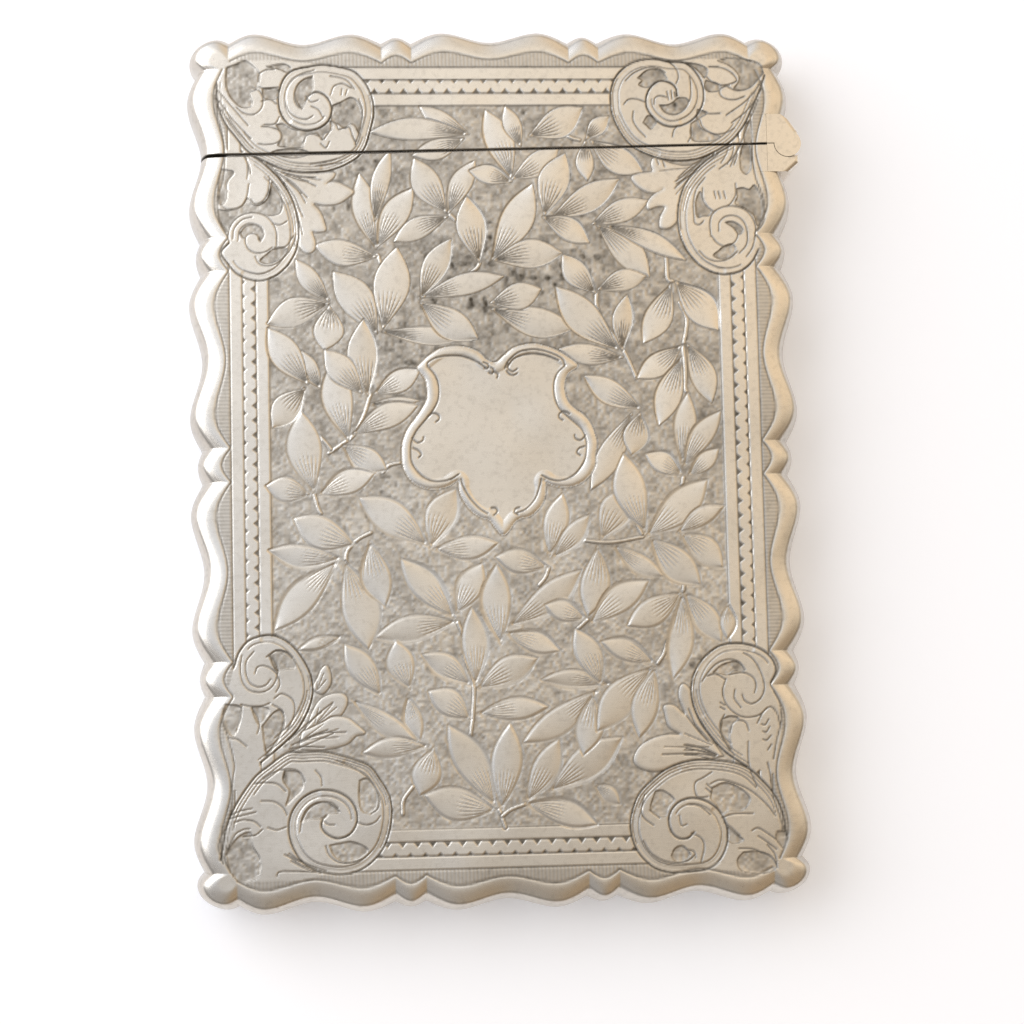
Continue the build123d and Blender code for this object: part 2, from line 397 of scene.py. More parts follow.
# The blank shield in the middle: its outer edge, and the lines of its double border.
SHIELD_EDGE = path(
    -9, 10.8, -8, 11.8, -6.5, 12.8, -5, 13.1, -3.5, 13, -2, 12.4, -1.2, 11.6, -0.2, 11.2, 0.8, 12, 2, 12.9,
    4, 13.3, 5.5, 13, 7, 12.4, 9, 11, 9, 10.5, 8, 9.8, 7.6, 8.5, 7.8, 7, 8.5, 6, 9.8, 5, 10.6, 3.8, 11.1, 2,
    10.9, 0.5, 10.8, -0.7, 10, -2, 8.8, -2.8, 7.5, -3.1, 6, -2.9, 5.1, -2.4, 5.2, -2.5, 5.1, -4, 4.5, -5.3,
    3.3, -6.3, 1.9, -6.7, 0.3, -8.4, -1.2, -6.7, -1.9, -6.5, -3, -5.8, -4, -4.6, -4.6, -3.2, -4.7, -2.2,
    -5.8, -2.8, -7.3, -3.1, -8.8, -2.8, -10, -2, -10.8, -0.5, -10.9, 1, -10.8, 2.3, -10.2, 3.8, -9.3, 5,
    -8.6, 6, -8, 7.2, -8, 8.5, -8.2, 9.5, -9, 10.6, -9, 10.8,
)
SHIELD_LINES = [
    path(
        7.7, 10.7, 6.8, 9.8, 6.4, 8.5, 6.5, 7, 7, 5.8, 8.1, 4.7, 9.4, 3.5, 9.9, 2.2, 9.9, 1, 9.7, 0,
        9.1, -1, 8.3, -1.8, 7, -2.3, 5.8, -2.2, 4.8, -1.7,
    ),
    path(4.7, -2.1, 4.5, -3, 4, -4.3, 3, -5.4, 1.9, -5.9),
    path(0.9, 10.5, 1.3, 11.3, 2.5, 12.3, 4, 12.6, 5.5, 12.4, 7.3, 11.6, 7.7, 10.7),
    path(1.2, 10.6, 2, 11.6, 3.7, 12.1, 5.5, 11.9, 7, 11.3),
    path(-7.8, 10.8, -7.8, 11.2, -6.8, 11.8, -5.3, 12, -3.8, 11.9, -2.3, 11.3, -1.3, 10.6),
    path(
        -7.8, 10.8, -7, 9.8, -6.6, 8.5, -6.7, 7, -7.3, 5.8, -8.2, 4.7, -9.2, 3.5, -9.8, 2.2, -9.9, 0.9,
        -9.8, 0, -9.2, -1, -8.3, -1.8, -7, -2.2, -5.5, -2, -4.5, -1.4,
    ),
    path(-4.3, -2, -4, -3, -3.3, -4.2, -2.3, -5.3, -1.4, -5.9),
    path(-1.5, 11.2, -1, 11, -1, 10.5, -1.4, 10.5),
    path(-0.9, 10.7, -0.4, 10.4, -0.5, 9.9, -0.9, 10),
    path(-0.3, 10.1, 0.1, 9.8, 0, 9.4),
    path(1.3, 11, 1.3, 10.4, 1.8, 10.1, 2.3, 10.4),
    path(1.1, 10.2, 1.4, 9.8, 1.9, 9.7, 2.3, 9.9),
    path(-7.9, 5.1, -7.3, 5.5, -6.7, 5.3, -6.6, 4.8, -7, 4.5),
    path(-9.7, 2.7, -9.1, 2.2, -8.5, 2.4, -8.4, 2.8),
    path(-9.6, 1.6, -9, 1.3, -8.7, 0.8, -9, 0.5),
    path(8.1, 5.2, 7.5, 5.5, 7, 5.3, 6.9, 4.8, 7.3, 4.5),
    path(9.8, 2.7, 9.3, 2.2, 8.7, 2.4, 8.6, 2.8),
    path(9.7, 1.5, 9.1, 1.3, 8.8, 0.8, 9.2, 0.5),
    path(-1, -5.3, -0.5, -5.3, -0.3, -5.7, -0.7, -6.1),
    path(2.2, -5.3, 1.8, -5.4, 1.6, -5.8, 2, -6.1),
]

TOP_LEFT_SCROLL = CornerScroll(
    volutes=[
        Volute(
            line=path(
                -31, 43.5, -30.9, 41, -30.2, 39, -29, 37.3, -27.5, 35.5, -25.5, 34.3, -23.5, 33.4,
                -21.5, 33.1, -19, 33.2, -17, 33.8, -15.3, 34.8, -14.4, 36, -13.9, 37.5, -13.4, 39.5,
                -13.4, 41, -13.8, 42.5, -14.5, 43.7, -15.5, 44.7, -17, 45.2, -19, 45.5, -20.5, 45.3,
                -22.3, 44.9, -23.3, 44.1, -23.9, 42.8, -24.1, 41.3, -23.8, 39.8, -23, 38.7, -21.8, 38.05,
                -20.7, 37.9, -19.5, 38.2, -18.5, 39, -18.1, 40.2, -18.3, 41.2, -18.9, 42, -19.8, 42.35,
                -20.6, 42, -21, 41.4,
            ),
            outer=20,
            closing=path(-23, 46, -31, 46),
        ),
        Volute(
            line=path(
                -27.3, 35.2, -25.8, 34.1, -24.2, 32.5, -22.9, 30.5, -22.2, 28.3, -22, 26, -22.4, 24,
                -23.3, 22.5, -24.5, 21.4, -26, 20.8, -27.5, 20.9, -29, 21.6, -30, 22.8, -30.7, 24,
                -29.8, 25.1,
            ),
            outer=14,
            closing=path(-31, 29, -31, 36),
        ),
    ],
    cuts=[
        path(-20, 44.9, -21.8, 44.3, -23, 43, -23.3, 41.7, -23, 40.3, -22.2, 39.5, -21, 39.2, -20.2, 39.6),
        path(-20.2, 44.2, -21.2, 43.8, -22, 43, -22.3, 41.8, -22, 40.8, -21.4, 40.4),
        path(-15.5, 42.7, -16.2, 43.6, -17, 44, -18.2, 44.2),
        path(-15.5, 36.3, -14.9, 38, -14.6, 40, -15, 41.5),
        path(-18.2, 42, -17.8, 43, -16.8, 43.3, -15.8, 42.8),
        path(
            -19, 36.9, -18.2, 38.1, -18.2, 39, -17.6, 38.6, -17.3, 38, -16.2, 38.3, -15.8, 37.3,
            -15.4, 36.3,
        ),
        path(-26.3, 43.6, -26.2, 44.4, -25.5, 44.9, -24.5, 45),
        path(-24.1, 42.9, -25.5, 42.7, -26.3, 43),
        path(-26, 41.3, -25, 41.5, -24.3, 41),
        path(-24, 39.5, -24.5, 38.7, -25.7, 38.6),
        path(-26, 38.4, -25, 38.3, -24, 37.9, -23.8, 37.1, -24.3, 36.5, -25.5, 36.3, -26.4, 36.4),
        path(-21.3, 36.5, -21, 37.3, -20.2, 37.5, -19.5, 37.2),
        path(-28.8, 40.6, -27.9, 39.9, -26.8, 39.8, -26, 40.5, -25.8, 41.5, -26.2, 42.5, -27, 42.9),
        path(-31.2, 43, -29.4, 40.8, -27.5, 38.5),
        path(-31.2, 42, -29.2, 39.2, -27.2, 37),
        path(-31, 41, -29, 38.2, -27, 35.9),
        path(-25.3, 32.6, -24.3, 31.3, -23.8, 29.9, -23.9, 28.8, -24.3, 28.3, -25.2, 28.2),
        path(-22.3, 26, -22.6, 25, -23.3, 23.8, -24.5, 22.7, -25.6, 22.4, -26.5, 22.7, -26.9, 23.5),
        path(
            -24.5, 24.7, -24.5, 26.2, -24.9, 27.3, -25.8, 28.2, -27.2, 28.5, -28.6, 28.1, -29.5, 27.2,
            -29.9, 26, -29.8, 25.2,
        ),
        path(-29.4, 25.5, -29.2, 26.7, -28.3, 27.7, -27.2, 28),
        path(-28.8, 25.3, -28.6, 26.5, -27.8, 27.2, -27, 27.2, -26.2, 26.8, -25.9, 26, -26.3, 25.2),
        path(-27.2, 26.2, -27.8, 25.9, -28, 25.2, -27.6, 24.3, -26.8, 23.9, -25.8, 24, -25, 24.5),
        path(-29.2, 33, -30, 32, -29.9, 31),
        path(-30.5, 29.2, -29.8, 28.9, -28.5, 29.2, -27.8, 30.2, -27.5, 31.8),
        path(-27.3, 30, -26.8, 29.5, -26, 29.8, -25.4, 30.8, -25.2, 32.3),
        path(-24.9, 27.2, -24, 27.1, -23.3, 27.5),
        path(-24.7, 24.5, -23.5, 24.6, -22.6, 25.8),
        path(-23.8, 33.1, -22, 32.6, -20, 32.5),
        path(-23.4, 32.8, -21.8, 32.2, -20.8, 32),
        path(-23.2, 32.2, -22, 31, -21.2, 29.6),
        path(-20.6, 34, -19, 34.3, -17.6, 34.6),
        path(-20, 33.8, -18.4, 34, -17, 34.2),
        path(
            -31.2, 42, -31, 40, -30.5, 38, -30.2, 36, -30.2, 34, -30.5, 32, -31, 30.5, -31.1, 29,
            -30.8, 27.6, -30, 26.5,
        ),
        path(-28, 35, -27.5, 34, -27.3, 33),
        path(-27.8, 35, -27.6, 33.6, -27.7, 32.4),
        path(-19.4, 36.4, -18.8, 35.9, -18.4, 36.6),
        path(-17, 42, -16.9, 42.7),
        path(-16.5, 42, -16.3, 42.6),
        path(-21, 41.9, -20.4, 41.2, -19.6, 41.4),
        path(-20.4, 40.7, -19.6, 40.3, -19.1, 39.4),
        path(-24.5, 33.4, -22.2, 32.6, -20, 31.5),
        path(-24.5, 33.2, -22.6, 31.9, -21, 30.2),
        path(-24.3, 32.9, -22.6, 30.6, -21.5, 28),
        path(-23.6, 31.9, -22.3, 29, -21.6, 26),
    ],
    pits=[
        path(
            -29.9, 45.2, -30, 43.5, -29.7, 42.2, -29, 41.2, -28.2, 40.6, -27.2, 40.7, -27, 41.3,
            -27.3, 42.3, -26.5, 42.7, -26.2, 43.6, -26.1, 44.4, -26.8, 45.3, -27.8, 46, -28.8, 45.6,
        ),
        path(-25.9, 42.8, -24.3, 42.8, -24.1, 42, -24.6, 41.5, -25.7, 41.7),
        path(-25.4, 45.3, -24, 45, -23, 44.6, -22.6, 45.1, -23.5, 45.6),
        path(
            -24.4, 38.6, -23.6, 38.7, -22.5, 38.1, -21, 37.9, -19.5, 38.2, -18.4, 39, -18, 38.6, -18.1, 38,
            -19, 37.5, -19.2, 36.8, -19.8, 37.6, -20.8, 37.5, -21.4, 36.8, -21.4, 36, -23, 36, -24.2, 36.2,
            -23.7, 37.2,
        ),
        path(
            -18, 40.8, -17, 41.2, -16, 41.7, -15.2, 41.3, -14.8, 40.2, -14.7, 38.8, -15, 37.5, -15.5, 38.4,
            -16, 38.7, -16.6, 38.1, -17.3, 38.6, -18.1, 39.1, -18.1, 40,
        ),
        path(
            -20.2, 44.1, -21.2, 43.8, -22, 43, -22.2, 41.8, -21.6, 40.6, -21.1, 41, -20.8, 41.8,
            -20.3, 42.3, -20.1, 43.2,
        ),
        path(-25, 35.4, -23.5, 34.9, -22, 34.8, -20.7, 35.3, -22, 35.8, -24, 35.7),
        path(-30.6, 33.5, -29.2, 33.2, -29.9, 32, -30.1, 30, -30.8, 29.5, -30.9, 32),
        path(
            -31, 28.9, -29.6, 28.8, -28.4, 29.2, -27.7, 30.2, -27.2, 29.5, -26.4, 29.4, -25.5, 30.1,
            -25.1, 31.3, -24.9, 32, -24.2, 31, -23.9, 29.6, -24.2, 28.5, -25.2, 28.2, -25.9, 28.3,
            -27.2, 28.6, -28.7, 28.2, -29.6, 27.3, -30.1, 26.3, -30.8, 27.5,
        ),
        path(
            -28.6, 26.2, -27.9, 27, -27, 27.1, -26.2, 26.7, -26, 26, -26.4, 25.3, -26.7, 26, -27.5, 26.1,
            -28.2, 25.6,
        ),
        path(-25, 24.3, -23.6, 24.5, -23.4, 24, -24.3, 23.1, -25.5, 22.7, -26.4, 23, -25.7, 23.7),
    ],
    lobes=[
        path(
            -24.8, 33.8, -22.5, 33.2, -20, 33, -18, 33.1, -18, 32.5, -18.8, 31.8, -18, 32, -17, 31.7,
            -15.8, 30.9, -16.4, 30.2, -17.5, 29.5, -19, 29.3, -20.3, 29.5, -19.6, 28.6, -19.1, 27.3,
            -19, 26.4, -20, 26.2, -20.5, 26.3, -20.2, 25.2, -20.3, 24.2, -21, 23.8, -21.7, 24.3,
            -22.2, 25.5, -22.2, 28, -22.8, 30.3, -24, 32.5,
        ),
    ],
)

TOP_RIGHT_SCROLL = CornerScroll(
    volutes=[
        Volute(
            line=path(
                31.6, 44.2, 31, 42.5, 30, 40.3, 29, 38.3, 27.5, 36.5, 25.5, 35.2, 23.5, 34.4, 21.5, 34.2,
                19.5, 34.4, 17.5, 35.1, 16, 36, 14.8, 37.5, 13.9, 39.5, 13.7, 41, 13.8, 42.6, 14.5, 44.2,
                15.8, 45.4, 17.3, 46, 19, 46.1, 20.5, 45.8, 22.5, 45.6, 23.8, 44.3, 24.4, 42.8, 24.4, 41.2,
                23.8, 39.8, 22.8, 38.8, 21.3, 38.2, 19.9, 38.3, 18.7, 39.1, 17.9, 40.3, 17.8, 41.5,
                18.3, 42.7, 19.3, 43.5, 20.4, 43.4, 21.2, 42.8, 21.4, 41.8,
            ),
            outer=20,
            closing=path(23, 46.1, 31.6, 46.1),
        ),
        Volute(
            line=path(
                27.5, 36, 24.5, 34.2, 22.8, 32.5, 21.7, 30.8, 21.1, 28.5, 21.1, 26.5, 21.5, 24.8,
                22.3, 23.3, 23.5, 22, 25, 21.2, 26.5, 21, 28.2, 21.4, 29.5, 22.5, 30.2, 23.8,
            ),
            outer=14,
            closing=path(31, 28, 31, 36),
        ),
    ],
    cuts=[
        path(15.5, 43.6, 16.5, 44.5, 18, 45.1, 19.2, 45.1, 20.1, 44.5),
        path(22.9, 44.1, 23, 43, 22.9, 41.5, 22.3, 40.3, 21.2, 39.6, 20, 39.8, 19.3, 40.7),
        path(18.7, 40.8, 18.8, 41.5, 19.4, 41.8, 20.2, 41.6),
        path(20.5, 45.8, 21.3, 45.1, 21.6, 44, 21.3, 43.2),
        path(15.2, 40.8, 15.8, 41.4, 16.8, 41.4, 17.6, 41.1),
        path(16.3, 40, 16.2, 39, 16.7, 38, 17.6, 37),
        path(20.7, 37, 20.9, 37.8, 21.3, 38.2),
        path(22.9, 38, 22.9, 37.2, 22.5, 36.4),
        path(24.9, 44, 25.6, 43.3, 26.8, 43, 28.2, 43.4, 28.3, 43.8, 27.6, 44.6, 26.5, 45.1, 25.2, 45.2),
        path(27.5, 43, 26.6, 42.7, 26.3, 42.1, 26.8, 41.5, 28, 41.3, 29.2, 41.7),
        path(27, 43, 28.2, 42.4, 29.6, 42.6, 30.7, 43.5, 31.5, 44.5),
        path(24, 40.2, 24.8, 39.7, 26.3, 39.7),
        path(23.9, 39, 24.3, 38, 25.4, 37.3, 26.8, 37.4, 28, 38),
        path(31.3, 43.5, 29.5, 41.3, 27, 39.5),
        path(31.2, 42.6, 29.6, 40.2, 27.6, 38.6),
        path(30.8, 41.4, 29.6, 38.6, 28.5, 36),
        path(24.3, 32.2, 23.3, 30.9, 22.9, 29.3, 22.9, 27.7, 23, 26.9, 23.6, 26.8, 24, 27.2),
        path(23.4, 23.7, 24.2, 22.9, 25.4, 22.5, 26.8, 22.8, 27.8, 23.6),
        path(
            24.8, 25.4, 24.7, 26.8, 25, 27.9, 25.8, 28.6, 27, 28.9, 28.3, 28.7, 29.3, 28, 29.9, 26.8,
            29.9, 25.5, 29.5, 24, 28.8, 23,
        ),
        path(25.7, 26, 25.8, 27, 26.6, 27.7, 27.8, 27.7, 28.7, 26.9, 29, 25.5, 28.8, 24.3, 28, 23.4),
        path(27.5, 26.3, 27.9, 25.6, 27.5, 24.7, 26.5, 24.2, 25.5, 24.6, 24.9, 25.4),
        path(24, 31, 24, 29.8, 24.5, 28.8, 25.3, 28.2),
        path(27.8, 31.5, 27.8, 30.2, 27.2, 29.2, 26.8, 28.9),
        path(26, 35, 23.5, 33, 21, 31.5),
        path(25, 34.9, 22.8, 33.6, 21.2, 32.2),
        path(24.4, 34.6, 22.6, 33.1, 21, 31.8),
        path(23.8, 34, 22.2, 32.4, 20.8, 31),
        path(27.2, 36.2, 26.9, 35, 26.2, 33.9),
        path(27.8, 36.2, 27.6, 35, 27, 33.8),
        path(28.2, 36.2, 28.1, 34.8, 27.7, 33.7),
        path(20.2, 42.3, 20.4, 41.3),
        path(20.7, 42.4, 20.8, 41.4),
        path(21.1, 42.2, 21.2, 41.6),
        path(25.3, 30.6, 25.5, 29.8),
        path(25.8, 30.6, 26, 29.8),
        path(26.4, 30.6, 26.6, 29.8),
        path(18.8, 34.4, 19, 33.8),
        path(19.5, 34.2, 19.7, 33.5),
        path(29.9, 36, 29.9, 34, 30.2, 32, 30.8, 30.4, 31.1, 28.6, 30.9, 27, 30.2, 26),
        path(28.5, 36, 27.5, 34.4, 26, 33.2),
        path(28.6, 36, 27.9, 34.8, 27.3, 33.5),
        path(25.5, 35, 23.2, 33, 21, 31.2),
        path(25, 34.9, 23.4, 33.6, 22, 32.6),
    ],
    pits=[
        path(
            16.9, 43.9, 18, 44.8, 19.3, 44.9, 20, 44.3, 20.2, 43.6, 19, 43.5, 18, 42.8, 17, 43.1,
            17.4, 43.6,
        ),
        path(
            19.4, 40.7, 20.2, 40.7, 21, 41.1, 21.4, 41.5, 22.4, 41.5, 22.7, 41, 22.2, 40.2, 21.3, 39.7,
            20.2, 39.8, 19.6, 40.3,
        ),
        path(17.4, 38.7, 18, 39.5, 18.9, 38.9, 18.6, 38.3, 18.2, 37.9, 17.8, 38.3),
        path(22.9, 38.5, 23.6, 38.9, 24, 38, 25.4, 37.3, 26.2, 37, 25.2, 36.5, 23.2, 36.5, 22.8, 37.4),
        path(23.7, 40.2, 24.8, 39.8, 24.1, 39.3, 23.6, 39),
        path(22.5, 45.7, 24.2, 45.4, 25, 44.8, 24.6, 43.9, 24.3, 44.3, 23.6, 45),
        path(24.8, 43.6, 26.3, 43.1, 26.3, 42.4, 25, 42.3, 24.6, 43),
        path(
            26.2, 45.9, 27.6, 45.3, 28.6, 44.2, 28.5, 43.3, 28, 42.6, 29.2, 42.5, 30.2, 43, 31, 44,
            31.4, 44.6, 31, 45.5, 29.5, 46, 27.5, 46.2,
        ),
        path(28.4, 34.5, 28.5, 33.2, 29, 32.6, 29.5, 33, 29.7, 34, 29.6, 36, 28.8, 36),
        path(29, 36.3, 29, 37.6, 29.6, 38.8, 29.9, 37.5, 29.8, 36.3),
        path(
            23.2, 28, 23.2, 29.5, 23.7, 30.6, 24, 29.6, 24.6, 28.7, 25, 28.3, 24.6, 27.8, 24, 27.8,
            23.4, 27.6,
        ),
        path(
            27.9, 30.9, 28.7, 31, 29.4, 30.8, 30, 31.3, 30.7, 30, 30.9, 28.5, 30.7, 27.2, 30.2, 26.6,
            29.8, 27.8, 28.8, 28.6, 27.7, 29.2, 28, 30,
        ),
        path(25.6, 23.7, 26.2, 24.2, 27.2, 24.5, 27.6, 23.8, 26.8, 23, 25.8, 22.8, 25, 23.2),
        path(26.5, 27, 27.3, 27.1, 28.2, 26.6, 28.5, 26, 28, 25.6, 27.4, 26.4),
    ],
    lobes=[
        path(
            24.5, 34.2, 22.5, 33.6, 20.5, 33.9, 18.6, 34.6, 18.2, 33.8, 18.3, 33, 17, 32.8, 15.9, 32.4,
            16.3, 31.5, 17.4, 30.7, 18.5, 30.5, 19.4, 30.9, 18.3, 30.2, 17.6, 29.3, 17.7, 28.6, 18.7, 28.9,
            19.6, 28.8, 19.1, 27.7, 19, 26.5, 20, 26.4, 20.9, 27.2, 21.3, 28.5, 21.8, 30.8, 23, 32.8,
        ),
    ],
)

BOTTOM_LEFT_SCROLL = CornerScroll(
    volutes=[
        Volute(
            line=path(
                -31.5, -43.5, -30.5, -39, -28, -35, -26, -33.3, -24, -32, -22.5, -32, -20, -32, -18, -32.5,
                -16.5, -33, -15, -33.7, -13.9, -35.2, -13, -36.8, -12.7, -38.5, -12.9, -40.5, -13.6, -42.5,
                -14.8, -44, -16.3, -45, -18, -45.4, -19.5, -45.3, -21.3, -44.8, -22.7, -43.8, -23.6, -42.3,
                -24, -40.8, -23.9, -39.2, -23.3, -37.9, -22.2, -36.8, -20.7, -36.2, -19, -36.3, -17.6, -37,
                -16.8, -38, -16.5, -39.2, -16.7, -40.2, -17.4, -41.1, -18.6, -41.5, -19.7, -41.1,
                -20.4, -40.3, -20.3, -39.4, -19.9, -39,
            ),
            outer=19,
            closing=path(-23, -46, -31.5, -46),
        ),
        Volute(
            line=path(
                -27, -33, -24.5, -31, -22.8, -29.3, -21.7, -27.3, -21.2, -25.5, -21.4, -23.5, -22.2, -21.8,
                -23.3, -20.3, -24.5, -19.4, -26, -19, -28, -19.5, -29.2, -20.8, -29.8, -22.5,
            ),
            outer=13,
            closing=path(-31, -27, -31, -36, -28.5, -36),
        ),
    ],
    cuts=[
        path(-18.6, -33, -17, -33.7, -15.8, -34.5, -14.8, -35.5, -14.1, -37, -14.2, -38.3, -15, -38.9),
        path(-15, -43, -16, -43.8, -17.5, -44.2, -18.8, -44, -19.7, -43.2, -20, -42.3),
        path(-22.8, -40.7, -22.5, -39.3, -21.7, -38.1, -20.5, -37.5, -19.3, -37.6, -18.6, -38.2),
        path(-16.5, -39.8, -15.5, -40.1, -14.5, -39.8, -14, -39.2),
        path(-26.7, -34.8, -25.6, -34.1, -24.4, -33.8, -23.2, -33.9, -22.5, -34.5, -22.2, -35.2),
        path(-21, -34, -20.4, -34.8, -20.3, -35.7),
        path(-27.8, -35.3, -26.5, -35.2, -25.2, -35.4, -24.3, -36.2),
        path(-27, -37.2, -25.6, -37.3, -24.6, -38, -24.2, -38.8),
        path(-26.3, -40.1, -25.3, -40.4, -24.3, -40.1),
        path(-30, -39.5, -29, -39.2, -27.8, -39.4, -27.1, -40),
        path(-30.9, -43, -30.5, -41.8, -29.8, -40.7, -28.8, -40.2, -28.3, -40.2),
        path(-29, -41, -27.7, -40.9, -26.9, -40.3),
        path(
            -31.2, -43.9, -31.7, -42, -31.3, -40.7, -30.6, -39.5, -30.2, -37.5, -30.1, -35, -29.9, -33,
            -30.6, -30, -31.1, -28.5, -31, -27,
        ),
        path(-25.4, -45.4, -24.8, -44.9, -21, -45.1),
        path(-24.5, -43.1, -23, -43.8, -21, -44.7),
        path(-26.3, -32.3, -25.2, -30.8, -24.6, -29.3, -24.4, -28.2, -24.8, -27.2, -25.6, -26.7),
        path(-24, -29.5, -23.3, -28, -23.2, -26.8, -23.6, -26, -24.6, -25.5, -25.4, -26),
        path(
            -28.9, -21.2, -29.1, -22.5, -28.9, -24, -28.2, -25, -27, -25.3, -26, -25, -25.3, -24.2,
            -25, -23, -25.3, -22, -26, -21.3,
        ),
        path(
            -27.6, -20.8, -28.4, -21.8, -28.5, -23, -28.1, -24.2, -27.2, -24.7, -26.3, -24.5, -25.8, -23.9,
        ),
        path(
            -27.5, -23.2, -27.2, -22.5, -26.4, -22.4, -25.6, -22.8, -25, -23.5, -24.8, -24.5, -25.2, -25.3,
        ),
        path(-26.2, -21.4, -25.3, -20.8, -24.2, -20.9, -23.4, -21.6),
        path(-29.1, -26.6, -28, -26.8, -26.8, -26.8, -25.9, -26.5),
        path(-29, -26.7, -29.1, -28, -29.6, -29.5),
        path(-27.9, -27, -27.3, -28, -27.1, -29, -27.3, -29.8),
        path(-30.5, -30.2, -29.5, -30.4, -28.5, -31.2),
        path(-24, -32, -21.5, -31, -19, -30),
        path(-23.8, -30.6, -22, -29, -20.2, -27.6),
        path(-23.6, -31.2, -21.4, -30.2, -19.6, -29.6),
        path(-23.8, -31.6, -22, -31.4, -20, -31.5),
        path(-30.2, -38.6, -29.2, -38.2, -28, -38),
        path(-30.4, -39, -29, -38.7, -27.6, -38.4),
        path(-24.2, -43.2, -22.8, -44.2, -21, -44.9),
        path(-23.8, -43.8, -22.4, -44.6, -20.6, -45.2),
        path(-20.4, -39.2, -19.8, -39.9, -19, -40),
        path(-24.6, -27.5, -24.3, -28.5, -24.8, -30, -26.5, -32.3),
        path(-24, -43, -22.2, -44.2, -20, -45),
        path(-22.8, -30.2, -20.8, -28, -19, -26.6),
        path(-22.8, -31, -20.4, -30, -17.6, -29.9),
    ],
    pits=[
        path(
            -25.9, -21.3, -25.2, -20.7, -24, -20.9, -23.3, -21.6, -23.1, -22.7, -24, -22.8, -25, -23,
            -25.5, -22.4,
        ),
        path(-30.8, -26.5, -29.2, -26.8, -29.2, -28, -29.8, -30, -30.6, -29.5, -31, -28),
        path(-27.9, -26.9, -26.4, -26.9, -26, -27.5, -27, -28.8, -27.6, -28),
        path(-26.8, -29, -25.5, -27.5, -24.6, -27.3, -24.4, -28.5, -25, -30.3, -26.3, -32),
        path(
            -30.9, -43, -30.2, -41.7, -29.2, -40.8, -28.2, -40.6, -28, -42, -27.2, -43.5, -27.4, -45.3,
            -29.2, -46, -30.4, -44.8,
        ),
        path(
            -24.4, -33.9, -22.9, -34.1, -22.4, -34.9, -22.4, -36, -23.4, -37, -24.3, -37.8, -23.9, -36.2,
            -24.6, -35,
        ),
        path(
            -22.7, -39.6, -22.2, -38.4, -21.2, -37.6, -20, -37.5, -19, -38, -18.4, -38.7, -19.5, -38.8,
            -20.2, -39.3, -21.4, -39.3,
        ),
        path(
            -16.2, -35.2, -15.5, -35, -14.8, -35.6, -14.3, -36.8, -14.4, -38.2, -15.2, -38.8, -16, -38.5,
            -16.3, -37,
        ),
        path(-19.6, -42.2, -18.4, -42, -17, -41.9, -15.4, -42.8, -16.5, -43.8, -18, -44, -19.1, -43.4),
    ],
    lobes=[
        path(
            -22, -29.5, -21.2, -27.5, -20.3, -26.2, -19.2, -25.7, -18, -25.6, -17.4, -26.2, -17.6, -27.2,
            -18.4, -28.2, -20.2, -28.8,
        ),
        path(
            -22.4, -29.8, -20.2, -28.8, -19, -28.2, -17.5, -28.3, -16.5, -29, -15.5, -30, -16.5, -30.3,
            -17.6, -31.2, -20, -31.7, -22.5, -31.5,
        ),
        path(
            -21.3, -25, -20.6, -23.8, -20.2, -22.9, -19.6, -22.5, -19.2, -23.5, -19.3, -24.7, -20.2, -25.6,
        ),
    ],
)

